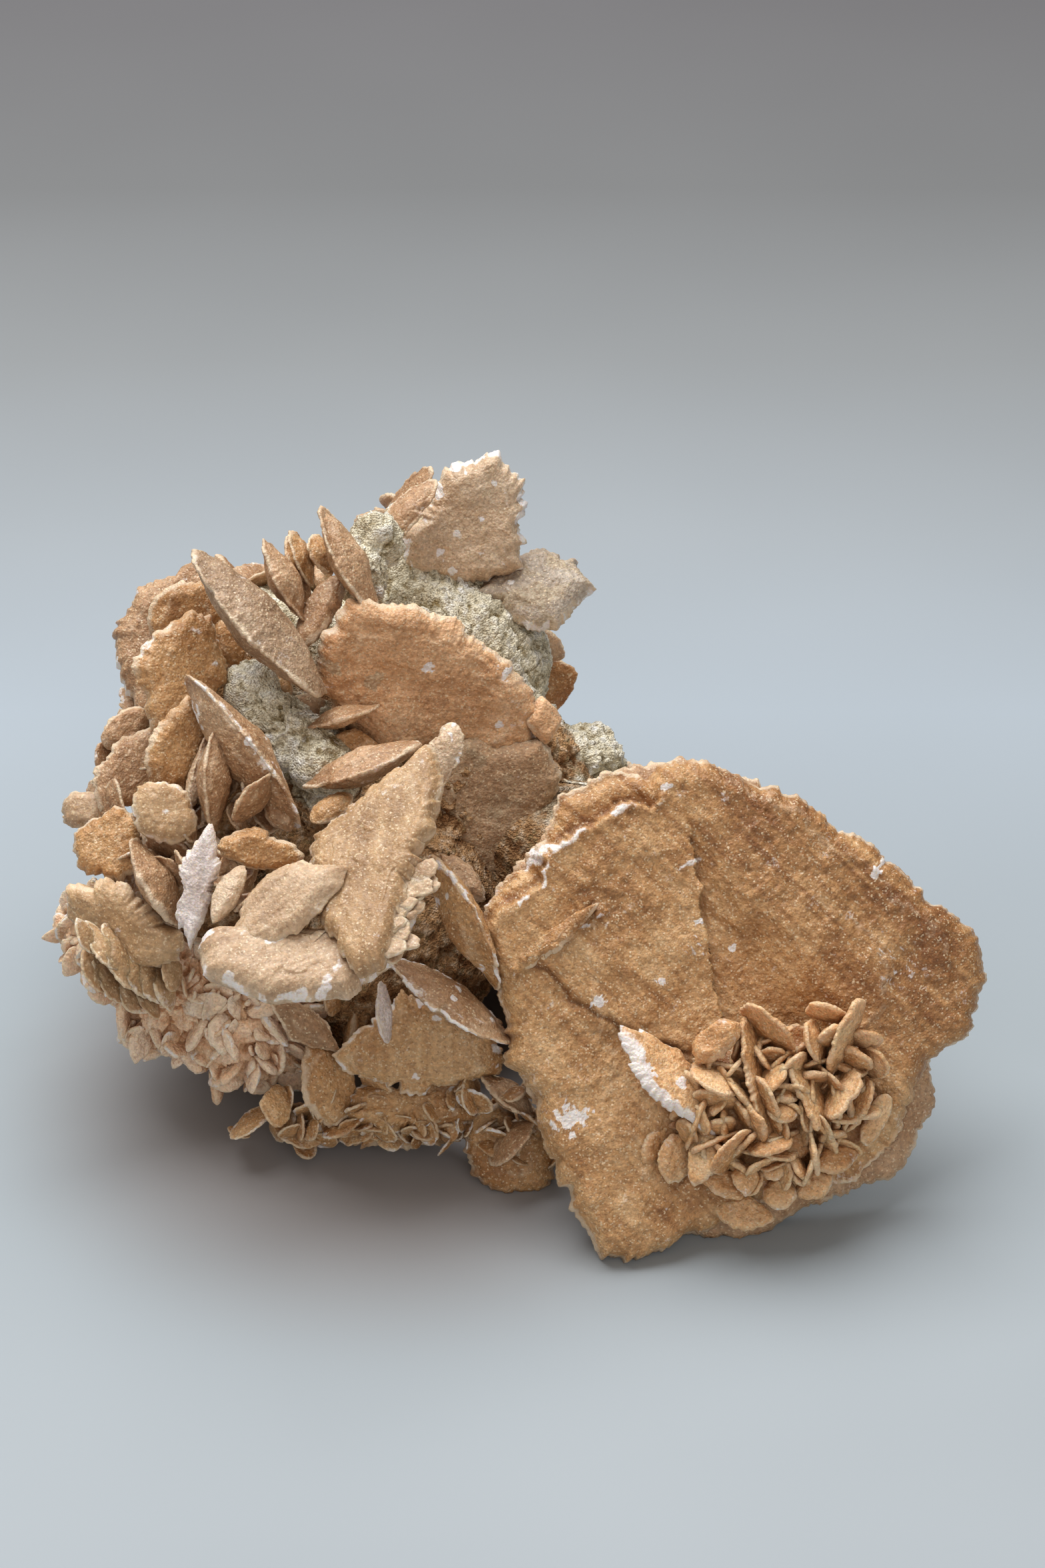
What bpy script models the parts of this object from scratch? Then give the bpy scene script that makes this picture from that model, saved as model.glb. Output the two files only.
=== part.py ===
"""Gypsum sand rose (desert rose): a cluster of lens-shaped gypsum crystals grown in sand.

Metres, +Z up.  The origin is the centre of the footprint, on the surface the cluster rests on.
The viewer's side is -Y, the great blade stands at +X.

Every crystal is laid out in the same way: the centre of the lens, the direction its broad face
looks to, the roll of its long axis in that face, four half-lengths, a squareness and a thickness.
Where two crystals grow through each other the one listed first runs on, and the later one is cut
back from it by a hair gap.  The sandy matrix comes last, so it holds a socket for each crystal.
"""

import math
import random

import bpy
import bmesh
from mathutils import Matrix, Vector
from mathutils.bvhtree import BVHTree

MM = 0.001
GAP = 0.35                 # clearance left between neighbouring solids, mm
GROUND = 3.0               # height of the resting surface in the layout, mm: tips below it are worn flat
TO_FOOTPRINT = (0.3, -4.3, -GROUND)   # layout frame to the centre of the footprint, mm
NAME = "gypsum_sand_rose"

# ---------------------------------------------------------------------------------------------
# Layout of the crystals, mm and degrees.
# name, centre, (azimuth, elevation) of the face, roll, (long+, long-, wide+, wide-), squareness,
# thickness, form, colour.  Azimuth 0 faces the viewer (-Y), 90 faces +X.
# ---------------------------------------------------------------------------------------------
CRYSTALS = [
    # the great blade on the right, two sheets thick
    ("great_blade", (43, -40, 43.5), (7, 38), 32, (52.5, 53, 48.5, 46.5), 2.0, 12, "plate", "amber"),
    ("great_blade_rear", (41.5, -36, 41.5), (7, 38), -57, (52.5, 54.5, 45.5, 46.5), 1.8, 6.4, "plate", "tan"),
    # blades in front of the left and the middle
    ("boat_lens", (-42, -51, 66), (10, 73), 12, (28.5, 22.5, 12.5, 12.5), 1.2, 8, "plate", "pale"),
    ("front_lens", (-48, -45, 73.5), (-40, 57), 73, (15, 17, 9, 7.5), 1.6, 6, "plate", "tan"),
    ("tall_plate", (-29.5, -37.5, 79.5), (-39, 61), -67, (27, 28, 12.5, 17), 1.2, 7, "plate", "tan"),
    ("tall_plate_tip", (-15.5, -5, 84.5), (-15, 40), 79, (7, 9.5, 3.5, 3.5), 1.8, 4, "lens", "pale"),
    ("vee_right", (-11, -35, 62), (-59, -10), -48, (15.5, 15.5, 11, 11), 1.7, 7.6, "lens", "amber"),
    ("vee_left", (-14, -43, 47.5), (98, 59), 64, (15, 15, 11, 11), 1.7, 6.6, "lens", "tan"),
    ("long_diagonal", (-58.5, -6.5, 86), (-39, -3), -41, (20, 20, 13, 13), 1.8, 6.5, "lens", "tan"),
    ("inner_blade_right", (-33, -5, 81), (-113, 70), -56, (13.5, 13.5, 10, 10), 1.7, 6, "lens", "tan"),
    ("pale_blade", (-66, -37, 73.5), (-14, 31), 82, (13.5, 14, 5, 4), 1.4, 4.5, "plate", "lilac"),
    ("cross_lens", (-55, -27.5, 75), (7, 29), -12, (10, 8, 4.5, 4), 1.6, 6, "plate", "amber"),
    ("leaf_spine", (-64, -12.5, 82.5), (75, 9), 56, (11, 11, 10, 10), 1.6, 7.2, "lens", "tan"),
    ("leaf_narrow", (-68, -7.5, 80.5), (42, 27), 51, (9, 8, 3, 2.5), 1.8, 4, "lens", "pale"),
    ("leaf_broad", (-72.5, -2, 83), (29, 29), 48, (11, 8.5, 4.5, 4.5), 2.0, 5.5, "plate", "amber"),
    ("shell_plate", (-74.5, -18, 78.5), (8, 43), -48, (7.5, 7, 6, 6), 1.8, 5, "plate", "amber"),
    ("left_lens", (-76, -27, 66.5), (84, 36), 63, (10.5, 10.5, 10, 10), 1.7, 6.4, "lens", "tan"),
    ("left_plate", (-86.5, -15, 67), (-9, 49), 53, (9, 9, 8, 8.5), 1.4, 6, "plate", "amber"),
    ("lower_left_plate", (-83.5, -29.5, 56), (-19, 22), -27, (14.5, 15, 8.5, 10), 1.6, 7, "plate", "pale"),
    # the upper left fan and the spikes beside it
    ("fan_front", (-73, 16, 91), (31, 36), 51, (13.5, 17, 10.5, 12.5), 1.2, 6, "plate", "amber"),
    ("fan_middle", (-72.5, 33, 94.5), (6, 26), 21, (8.5, 9, 8, 8), 2.0, 5, "plate", "amber"),
    ("fan_outer", (-77.5, 36, 87.5), (-8, 46), 77, (19, 20.5, 12.5, 11.5), 1.4, 10, "plate", "tan"),
    ("spike_1", (-55.5, 16.5, 103), (109, 39), 52, (20, 20, 13, 13), 1.8, 8, "lens", "tan"),
    ("spike_2", (-50.5, 28, 107), (95, 30), 57, (10, 10, 9, 9), 1.7, 4.8, "lens", "tan"),
    ("spike_4", (-36.5, 29.5, 110.5), (80, 36), 65, (13.5, 13.5, 10, 10), 1.7, 5.6, "lens", "tan"),
    ("spike_3", (-47.5, 39, 106), (86, 26), 59, (6.5, 6.5, 7, 7), 1.7, 5.5, "lens", "amber"),
    ("disc_blade", (-42.5, 26.5, 101), (-44, 60), -79, (11.5, 8.5, 4, 4), 1.6, 5, "plate", "tan"),
    ("leaf_outer_low", (-84.5, 5, 72.5), (20, 42), 41, (10, 9, 4.5, 5), 1.6, 5, "plate", "tan"),
    ("leaf_outer_high", (-86, 18, 75.5), (23, 39), 28, (6, 6.5, 3.5, 4), 1.8, 5, "plate", "tan"),
    ("left_tip", (-94, 2, 64.5), (-19, 51), 26, (5.5, 5.5, 4.5, 4.5), 2.6, 5, "plate", "pale"),
    # upper middle
    ("inner_blade_left", (-38, 9.5, 84), (-113, 75), -58, (8.5, 8.5, 8, 8), 1.7, 4.4, "lens", "pale"),
    ("upper_plate", (-21, 19, 85.5), (9, 14), -31, (28.5, 25.5, 16.5, 18), 1.6, 8, "plate", "pink"),
    ("recess_plate", (-7.5, 11.5, 59), (3, 21), 79, (17, 19.5, 17.5, 16.5), 2.0, 9, "plate", "grey"),
    ("inner_leaf", (-36, 8, 78.5), (20, 54), -24, (6.5, 4.5, 3, 4.5), 1.2, 4, "plate", "pale"),
    ("inner_lens_low", (-39, -13, 76), (-13, 65), 43, (5, 5.5, 3, 3), 2.0, 3.5, "lens", "amber"),
    ("inner_block", (-48, 17, 80.5), (10, 55), 13, (6, 5.5, 3.5, 4), 1.8, 4, "plate", "grey"),
    # the crown
    ("crown_plate", (-11, 59.5, 102.5), (6, 23), 40, (18.5, 18, 13, 16), 1.4, 9, "plate", "pink"),
    ("crown_flank", (-25, 51, 109.5), (-45, 56), 85, (10.5, 10, 4.5, 3.5), 2.0, 5, "lens", "tan"),
    ("crown_ledge", (4.5, 56, 87), (13, 65), -2, (12.5, 16.5, 11, 10), 1.2, 9, "plate", "grey"),
    # the skirt under the middle
    ("skirt_plate", (-21, -40.5, 33.5), (3, 26), -5, (19, 19.5, 11.5, 10), 1.6, 6, "plate", "tan"),
    ("skirt_left", (-41, -41.5, 23.5), (35, 30), 89, (10, 10.5, 5.5, 6.5), 1.6, 6, "plate", "amber"),
    ("skirt_under", (-23, -42.5, 18.5), (4, 41), -1, (14.5, 14.5, 5.5, 5.5), 3.0, 7, "plate", "pale"),
    ("under_blade", (-2, -45, 23.5), (86, 58), 73, (7.5, 7.5, 8, 8), 1.7, 4.2, "lens", "tan"),
    ("under_shell", (-1.5, -46.5, 9.5), (0, 29), -47, (11, 11, 9, 9.5), 1.8, 9, "plate", "pale"),
    ("skirt_foot", (-28, -38.5, 12), (0, 49), -2, (20.5, 19, 5, 6.5), 2.0, 8, "plate", "pale"),
    ("skirt_back", (-45.5, -36.5, 35.5), (28, 50), -55, (9.5, 9.5, 4.5, 4), 1.2, 5, "lens", "grey"),
    # the far side and the underside
    ("rear_foot_left", (-45, 44, 22), (205, -20), 20, (26, 26, 22, 23), 1.8, 8, "plate", "tan"),
    ("rear_foot_right", (20, 44, 22), (160, -20), -15, (25, 24, 23, 23), 1.8, 8, "plate", "tan"),
    ("rear_prop", (52, -8, 22), (100, 10), 60, (26, 24, 20, 18), 1.8, 8, "plate", "amber"),
    ("rear_plate_high", (-12, 72, 74), (172, 12), 30, (22, 21, 16, 17), 1.6, 7, "plate", "pink"),
    ("rear_plate_mid", (-64, 50, 58), (230, 10), 70, (22, 20, 17, 17), 1.7, 7, "plate", "tan"),
    ("rear_cross_blade", (6, 62, 46), (118, 18), 50, (23, 22, 15, 17), 1.7, 6, "lens", "amber"),
    ("side_blade_left", (-74, 12, 46), (262, -14), 30, (19, 18, 15, 13), 1.7, 6, "plate", "pale"),
    ("underside_blade", (-52, -6, 24), (-28, -48), 15, (20, 19, 15, 14), 1.7, 6, "plate", "grey"),
]

# Worn outlines of the broad plates: corner points in the plane of the plate, mm.
CORNERS = {
    "great_blade": [(17, 45), (-10, 49), (-20, 44), (-30, 44), (-38, 25), (-44, 18), (-42, 12), (-49, -5),
                    (-52, -27), (-49, -31), (-12, -40), (1, -46), (15, -44), (28, -35), (39, -36), (49, -29),
                    (53, -20), (48, 2), (40, 25), (33, 33), (27, 45)],
    "great_blade_rear": [(-27, -35), (-7, -43), (10, -47), (29, -44), (45, -24), (46, -12), (53, 10), (45, 25),
                         (16, 45), (-14, 43), (-36, 33), (-45, 26), (-53, 10), (-50, -6), (-48, -22)],
    "upper_plate": [(-20, -10), (-14, -15), (-3, -18), (16, -9), (24, -10), (28, 0), (26, 7), (15, 13), (0, 17),
                    (-12, 15), (-21, 12), (-25, 7), (-25, 0)],
    "recess_plate": [(-2, 17), (-16, 10), (-19, 2), (-19, -5), (-11, -13), (10, -16), (17, -10), (15, -2), (16, 7),
                     (11, 18)],
    "crown_plate": [(-18, -1), (-10, -10), (2, -16), (13, -4), (17, 1), (17, 9), (10, 11), (5, 13), (-5, 9),
                    (-13, 9), (-18, 4)],
    "crown_ledge": [(-12, -4), (-3, -10), (3, -10), (13, -1), (10, 7), (3, 11), (-5, 8), (-13, 2), (-17, -1)],
    "fan_outer": [(-10, 9), (-20, -1), (-16, -5), (-6, -10), (6, -12), (14, -8), (19, -1), (9, 9), (-3, 12)],
    "fan_front": [(-3, 10), (-17, 0), (-8, -7), (2, -12), (14, -2), (13, 3), (5, 9)],
    "tall_plate": [(3, -13), (17, -7), (27, 3), (24, 8), (7, 9), (-9, 12), (-14, 12), (-27, 8), (-28, 5),
                   (-5, -15)],
    "boat_lens": [(-22, 2), (-13, -8), (3, -13), (15, -8), (26, 5), (29, 11), (23, 11), (7, 3), (-8, 8),
                  (-19, 12), (-22, 9)],
    "front_lens": [(-13, -4), (-1, -7), (12, -6), (15, -3), (9, 6), (2, 9), (-4, 8), (-17, 1)],
    "lower_left_plate": [(-11, -5), (5, -10), (14, 3), (12, 8), (-8, 8), (-15, 0)],
    "skirt_plate": [(-14, -7), (-1, -10), (17, -6), (19, -4), (16, 3), (2, 11), (-5, 11), (-18, -3)],
    "left_plate": [(-8, -2), (-4, -7), (1, -8), (8, 0), (7, 6), (-4, 8), (-9, 3)],
    "pale_blade": [(-14, -2), (0, -4), (6, -4), (13, 1), (2, 5), (-9, 3)],
}

# The small rosette on the great blade: many little blades grown into one body.
ROSETTE = [
    ((52.5, -57, 31), (7, 38), 3, (23, 21.5, 17.5, 18.5), 2.0, 13),
    ((30.5, -58.5, 40), (50, 54), -86, (16, 14.5, 6, 6), 1.4, 4),
    ((40.5, -55.5, 46.5), (-34, 52), 59, (6.5, 5.5, 3.5, 3.5), 2.0, 5),
    ((50.5, -57, 38), (67, 29), 65, (12, 12, 9, 9), 1.7, 4.5),
    ((52, -52.5, 47), (-59, -36), -44, (6.5, 6.5, 7, 7), 1.7, 3.4),
    ((61, -59.5, 36), (75, 36), 67, (9, 9, 8, 8), 1.7, 3.8),
    ((67.5, -53, 45), (62, -7), 49, (8, 8, 7, 7), 1.7, 3.2),
    ((73, -53, 38.5), (-55, -22), -44, (4, 4, 7, 7), 1.7, 3.2),
    ((67, -61, 37), (-110, 32), -50, (5.5, 5.5, 6, 6), 1.7, 3.2),
    ((69.5, -57.5, 31.5), (-71, 40), -71, (6, 6, 8, 8), 1.7, 3.2),
    ((52.5, -60.5, 41), (-114, 35), -48, (4, 4, 6, 6), 1.7, 3),
    ((41, -60, 40.5), (119, 63), 49, (5, 5, 7, 7), 1.7, 3.2),
    ((44.5, -68, 28.5), (61, -34), 46, (5.5, 5.5, 8, 8), 1.7, 4),
    ((38.5, -66.5, 27), (-41, 40), -80, (7, 5.5, 4, 4), 1.6, 4),
    ((33.5, -64.5, 24.5), (30, 25), 67, (5.5, 5, 4, 4), 2.0, 4),
    ((43, -68.5, 21), (0, 56), -22, (6, 6, 3.5, 3.5), 1.6, 5),
    ((52, -66.5, 29.5), (-115, 77), -57, (4.5, 4.5, 6, 6), 1.7, 3.2),
    ((54.5, -69, 19), (-9, 52), -44, (4, 4, 4, 4), 2.0, 4),
    ((62, -66, 19.5), (9, 52), 21, (4.5, 5, 4, 4), 1.6, 4),
    ((66, -63.5, 24), (19, 51), 6, (5, 5.5, 4, 3.5), 1.8, 4),
]

# Sandy masses: centres and radii of the lumps that make them up.
MASSES = {
    "crumbly_lobe": [((-87, -14, 43), (12, 12, 11)), ((-73.5, -19.5, 32.5), (16, 15, 15)),
                     ((-58, -26, 26.5), (15, 13, 13))],
    "sandy_knob": [((15.5, 36, 53.5), (11, 11, 10)), ((10, 34, 54), (10, 10, 9))],
    "sand_matrix": [((-55, 44, 63), (30, 30, 30)), ((-45, 20, 54), (28, 28, 28)),
                    ((-32, 1, 34), (31, 31, 28)), ((-21.5, 54, 66), (30, 28, 29)),
                    ((-21, 66, 88), (17, 16, 17)), ((-68, 36, 66), (21, 21, 21)),
                    ((-70, -1, 38), (20, 20, 19)), ((30, 3, 35), (29, 28, 28)),
                    ((-22, 32, 44), (42, 32, 37))],
}

COLOURS = {
    "amber": ((0.56, 0.31, 0.12), 0.42), "tan": ((0.52, 0.32, 0.16), 0.5), "pale": ((0.66, 0.48, 0.31), 0.55),
    "pink": ((0.50, 0.33, 0.22), 0.5), "lilac": ((0.48, 0.39, 0.34), 0.5), "grey": ((0.40, 0.32, 0.21), 0.7),
    "sand": ((0.42, 0.33, 0.20), 0.95), "crumb": ((0.58, 0.39, 0.22), 0.9),
}


def material(name, colour):
    rgb, rough = COLOURS[colour]
    mat = bpy.data.materials.new(name)
    mat.use_nodes = True
    bsdf = mat.node_tree.nodes["Principled BSDF"]
    bsdf.inputs["Base Color"].default_value = (*rgb, 1.0)
    bsdf.inputs["Roughness"].default_value = rough
    bsdf.inputs["Metallic"].default_value = 0.0
    mat.diffuse_color = (*rgb, 1.0)
    return mat


def frame_of(centre, face, roll):
    """Matrix that lays a lens, drawn in its own XY plane, where the crystal grew."""
    az, el = math.radians(face[0]), math.radians(face[1])
    normal = Vector((math.sin(az) * math.cos(el), -math.cos(az) * math.cos(el), math.sin(el)))
    level = Vector((math.cos(az), math.sin(az), 0.0))
    slope = normal.cross(level)
    along = level * math.cos(math.radians(roll)) + slope * math.sin(math.radians(roll))
    across = normal.cross(along)
    turn = Matrix((along, across, normal)).transposed().to_4x4()
    return Matrix.Translation(Vector(centre) * MM) @ turn


def corner_radius(corners, angle):
    """Distance from the centre to the outline that joins the corner points."""
    d = Vector((math.cos(angle), math.sin(angle)))
    best = 0.0
    for i, p in enumerate(corners):
        p, q = Vector(p), Vector(corners[(i + 1) % len(corners)])
        e = q - p
        den = d.x * -e.y + e.x * d.y
        if abs(den) < 1e-9:
            continue
        s = (p.x * -e.y + e.x * p.y) / den
        u = (d.x * p.y - d.y * p.x) / den
        if s > 0 and -1e-6 <= u <= 1 + 1e-6:
            best = max(best, s)
    return best


def outline(half, square, corners, rng):
    """Radius of the crystal's rim as a function of the angle, slightly uneven."""
    waves = [(k, rng.uniform(0.004, 0.016), rng.uniform(0, math.tau)) for k in (3, 5, 7)]

    def radius(t):
        c, s = math.cos(t), math.sin(t)
        if corners:
            r = corner_radius(corners, t)
        else:
            a = half[0] if c > 0 else half[1]
            b = half[2] if s > 0 else half[3]
            r = (abs(c / a) ** square + abs(s / b) ** square) ** (-1.0 / square)
        return r * (1.0 + sum(w * math.sin(k * t + ph) for k, w, ph in waves))

    return radius


def lens_mesh(name, half, square, thick, form, corners, seed, grow, segs, rings):
    """A flattened sphere whose rim follows the outline."""
    radius = outline(half, square, corners, random.Random(seed))
    bm = bmesh.new()
    bmesh.ops.create_uvsphere(bm, u_segments=segs, v_segments=rings, radius=1.0)
    for v in bm.verts:
        rho = min(1.0, math.hypot(v.co.x, v.co.y))
        t = math.atan2(v.co.y, v.co.x)
        side = 0.0 if abs(v.co.z) < 1e-4 else math.copysign(1.0, v.co.z)
        if form == "plate":
            height = math.sqrt(max(0.0, 1.0 - rho ** 5)) if rho < 0.999 else 0.0
        else:
            height = (1.0 - rho ** 2) ** 0.85 if rho < 0.999 else 0.0
        r = (radius(t) + grow) * rho
        v.co = Vector((r * math.cos(t), r * math.sin(t), side * (height * thick / 2 + grow))) * MM
    mesh = bpy.data.meshes.new(name)
    bm.to_mesh(mesh)
    bm.free()
    return mesh


def lump_mesh(name, radii, grow, seed):
    """An uneven boulder of sand."""
    rng = random.Random(seed)
    bumps = [(Vector((rng.gauss(0, 1), rng.gauss(0, 1), rng.gauss(0, 1))).normalized(), rng.uniform(-0.07, 0.07))
             for _ in range(9)]
    bm = bmesh.new()
    bmesh.ops.create_icosphere(bm, subdivisions=2, radius=1.0)
    for v in bm.verts:
        d = v.co.normalized()
        f = 1.0 + sum(w * max(0.0, d.dot(b)) ** 3 for b, w in bumps)
        v.co = Vector((d.x * (radii[0] * f + grow), d.y * (radii[1] * f + grow), d.z * (radii[2] * f + grow))) * MM
    mesh = bpy.data.meshes.new(name)
    bm.to_mesh(mesh)
    bm.free()
    return mesh


def place(name, mesh, matrix, collection):
    obj = bpy.data.objects.new(name, mesh)
    collection.objects.link(obj)
    obj.matrix_world = matrix
    return obj


def world_box(obj):
    pts = [obj.matrix_world @ v.co for v in obj.data.vertices]
    return ([min(p[i] for p in pts) for i in range(3)], [max(p[i] for p in pts) for i in range(3)])


def boxes_meet(a, b):
    return all(a[0][i] < b[1][i] and b[0][i] < a[1][i] for i in range(3))


def boolean(obj, others, operation):
    """Apply a run of Booleans, then put the result back on the object."""
    for other in others:
        mod = obj.modifiers.new(operation.lower(), "BOOLEAN")
        mod.operation = operation
        mod.solver = "EXACT"
        mod.object = other
    bpy.context.view_layer.update()
    deps = bpy.context.evaluated_depsgraph_get()
    mesh = bpy.data.meshes.new_from_object(obj.evaluated_get(deps))
    obj.modifiers.clear()
    obj.data = mesh


def signed_volume(bm, verts):
    total = 0.0
    faces = {f for v in verts for f in v.link_faces}
    for f in faces:
        a = f.verts[0].co
        for i in range(1, len(f.verts) - 1):
            total += a.dot(f.verts[i].co.cross(f.verts[i + 1].co)) / 6.0
    return total


def tidy(obj):
    """Weld the cut edges, drop needle faces and keep only the largest piece."""
    bm = bmesh.new()
    bm.from_mesh(obj.data)
    bmesh.ops.remove_doubles(bm, verts=bm.verts, dist=0.00002)
    bmesh.ops.dissolve_degenerate(bm, edges=bm.edges, dist=0.00002)
    bmesh.ops.triangulate(bm, faces=bm.faces)
    left, islands = set(bm.verts), []
    while left:
        stack, island = [left.pop()], []
        while stack:
            v = stack.pop()
            island.append(v)
            for e in v.link_edges:
                w = e.other_vert(v)
                if w in left:
                    left.discard(w)
                    stack.append(w)
        islands.append(island)
    islands.sort(key=lambda isl: -abs(signed_volume(bm, isl)))
    for island in islands[1:]:
        bmesh.ops.delete(bm, geom=island, context="VERTS")
    bm.to_mesh(obj.data)
    bm.free()


def main():
    for obj in list(bpy.data.objects):
        bpy.data.objects.remove(obj, do_unlink=True)
    rose = bpy.data.collections.new(NAME)
    cutters = bpy.data.collections.new("cutters")
    bpy.context.scene.collection.children.link(rose)
    bpy.context.scene.collection.children.link(cutters)

    solids = []      # (object, colour) in order of growth: an earlier solid cuts the later ones
    grown = {}       # the same shape, larger by the gap, used as a cutter

    def add(name, colour, make):
        obj = make(name, 0.0, rose)
        cut = make("cut_" + name, GAP, cutters)
        cut.hide_render = True
        cut.display_type = "WIRE"
        solids.append((obj, colour))
        grown[name] = cut

    for n, (name, centre, face, roll, half, square, thick, form, colour) in enumerate(CRYSTALS):
        big = max(half) > 24
        segs, rings = (44 if max(half) > 40 else 28, 6) if big else ((18, 6) if max(half) > 12 else (14, 4))
        corners = CORNERS.get(name)

        def make(label, grow, collection):
            mesh = lens_mesh(label, half, square, thick, form, corners, 100 + n, grow, segs, rings)
            return place(label, mesh, frame_of(centre, face, roll), collection)

        add(name, colour, make)

    def rosette(label, grow, collection):
        pieces = []
        for n, (centre, face, roll, half, square, thick) in enumerate(ROSETTE):
            mesh = lens_mesh("blade", half, square, thick, "lens", None, 300 + n, grow, 18 if n == 0 else 10, 4)
            pieces.append(place("blade_%02d" % n, mesh, frame_of(centre, face, roll), cutters))
        whole = place(label, pieces[0].data.copy(), pieces[0].matrix_world.copy(), collection)
        boolean(whole, pieces[1:], "UNION")
        for p in pieces:
            bpy.data.objects.remove(p, do_unlink=True)
        return whole

    add("small_rosette", "amber", rosette)

    for m, (name, lumps) in enumerate(MASSES.items()):

        def mass(label, grow, collection):
            pieces = []
            for n, (centre, radii) in enumerate(lumps):
                mesh = lump_mesh("lump", radii, grow, 500 + 20 * m + n)
                pieces.append(place("lump_%02d" % n, mesh, Matrix.Translation(Vector(centre) * MM), cutters))
            whole = place(label, pieces[0].data.copy(), pieces[0].matrix_world.copy(), collection)
            boolean(whole, pieces[1:], "UNION")
            for p in pieces:
                bpy.data.objects.remove(p, do_unlink=True)
            return whole

        add(name, "crumb" if name == "crumbly_lobe" else "sand", mass)

    bpy.ops.mesh.primitive_cube_add(size=0.5, location=(0, 0, GROUND * MM - 0.25))
    ground = bpy.context.active_object
    ground.name = "cut_ground"
    for c in list(ground.users_collection):
        c.objects.unlink(ground)
    cutters.objects.link(ground)
    ground.hide_render = True
    ground.display_type = "WIRE"
    bpy.context.view_layer.update()

    boxes = {o.name: world_box(o) for o, _ in solids}
    wide = {o.name: world_box(grown[o.name]) for o, _ in solids}
    for i, (obj, colour) in enumerate(solids):
        earlier = [grown[o.name] for o, _ in solids[:i] if boxes_meet(boxes[obj.name], wide[o.name])]
        if boxes[obj.name][0][2] < (GROUND + 0.2) * MM:
            earlier.append(ground)
        if earlier:
            boolean(obj, earlier, "DIFFERENCE")
        tidy(obj)
        obj.data.name = obj.name
        obj.data.materials.clear()
        obj.data.materials.append(material(obj.name, colour))
        obj.data.shade_smooth()
        obj.data.set_sharp_from_angle(angle=math.radians(35))

    stand = bpy.data.objects.new("footprint_centre", None)
    rose.objects.link(stand)
    stand.location = Vector(TO_FOOTPRINT) * MM
    for obj, _ in solids:
        obj.parent = stand
    bpy.context.view_layer.update()


main()
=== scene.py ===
import math
import random

import bpy
import numpy as np
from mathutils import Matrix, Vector


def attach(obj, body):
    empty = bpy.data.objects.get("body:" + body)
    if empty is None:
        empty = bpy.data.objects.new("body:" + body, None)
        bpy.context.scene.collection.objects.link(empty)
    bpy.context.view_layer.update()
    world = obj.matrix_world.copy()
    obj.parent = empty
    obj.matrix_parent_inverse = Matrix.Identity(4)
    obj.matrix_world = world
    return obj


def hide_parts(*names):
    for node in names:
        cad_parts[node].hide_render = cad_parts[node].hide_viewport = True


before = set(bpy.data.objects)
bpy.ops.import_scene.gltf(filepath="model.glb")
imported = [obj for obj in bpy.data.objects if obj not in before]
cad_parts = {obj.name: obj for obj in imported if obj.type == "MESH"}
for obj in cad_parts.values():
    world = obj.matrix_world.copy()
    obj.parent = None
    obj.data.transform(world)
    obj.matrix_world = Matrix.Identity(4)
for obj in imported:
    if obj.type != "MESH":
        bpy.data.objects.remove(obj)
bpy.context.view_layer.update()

MM = 0.001
TO_FOOTPRINT = np.array((0.3, -4.3, -3.0))     # layout of the crystals to the centre of the footprint, mm
VIEW_CENTRE = np.array((1.0, 24.0, 56.0))      # what the camera looks at, in the layout

# =============================================================================================
# noise
# =============================================================================================


def _hash(ix, iy, iz, seed):
    h = (ix.astype(np.uint32) * np.uint32(73856093)) ^ (iy.astype(np.uint32) * np.uint32(19349663))
    h = h ^ (iz.astype(np.uint32) * np.uint32(83492791)) ^ np.uint32((seed * 2654435761 + 12345) & 0xFFFFFFFF)
    h = (h ^ (h >> np.uint32(13))) * np.uint32(1274126177)
    h = (h ^ (h >> np.uint32(16))) * np.uint32(2246822519)
    h = h ^ (h >> np.uint32(15))
    return (h & np.uint32(0xFFFFFF)).astype(np.float32) * np.float32(2.0 / 16777215.0) - np.float32(1.0)


def noise2(x, y, seed=0):
    """Smooth value noise in the plane, -1 to 1."""
    fx, fy = np.floor(x), np.floor(y)
    tx, ty = (x - fx).astype(np.float32), (y - fy).astype(np.float32)
    ix, iy = fx.astype(np.int64), fy.astype(np.int64)
    iz = np.zeros_like(ix)
    tx = tx * tx * tx * (tx * (tx * 6 - 15) + 10)
    ty = ty * ty * ty * (ty * (ty * 6 - 15) + 10)
    a, b = _hash(ix, iy, iz, seed), _hash(ix + 1, iy, iz, seed)
    c, d = _hash(ix, iy + 1, iz, seed), _hash(ix + 1, iy + 1, iz, seed)
    return (a + (b - a) * tx) * (1 - ty) + (c + (d - c) * tx) * ty


def noise3(p, seed=0):
    f = np.floor(p)
    t = (p - f).astype(np.float32)
    i = f.astype(np.int64)
    t = t * t * t * (t * (t * 6 - 15) + 10)
    tx, ty, tz = t[:, 0], t[:, 1], t[:, 2]
    out = 0.0
    for dz in (0, 1):
        a = _hash(i[:, 0], i[:, 1], i[:, 2] + dz, seed)
        b = _hash(i[:, 0] + 1, i[:, 1], i[:, 2] + dz, seed)
        c = _hash(i[:, 0], i[:, 1] + 1, i[:, 2] + dz, seed)
        d = _hash(i[:, 0] + 1, i[:, 1] + 1, i[:, 2] + dz, seed)
        layer = (a + (b - a) * tx) * (1 - ty) + (c + (d - c) * tx) * ty
        out = out + layer * (tz if dz else 1 - tz)
    return out


def fbm2(x, y, seed=0, octaves=3, gain=0.5):
    out, amp, tot = 0.0, 1.0, 0.0
    for o in range(octaves):
        out = out + amp * noise2(x * 2.03 ** o + 17.3 * o, y * 2.03 ** o - 9.1 * o, seed + o)
        tot += amp
        amp *= gain
    return out / tot


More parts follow.
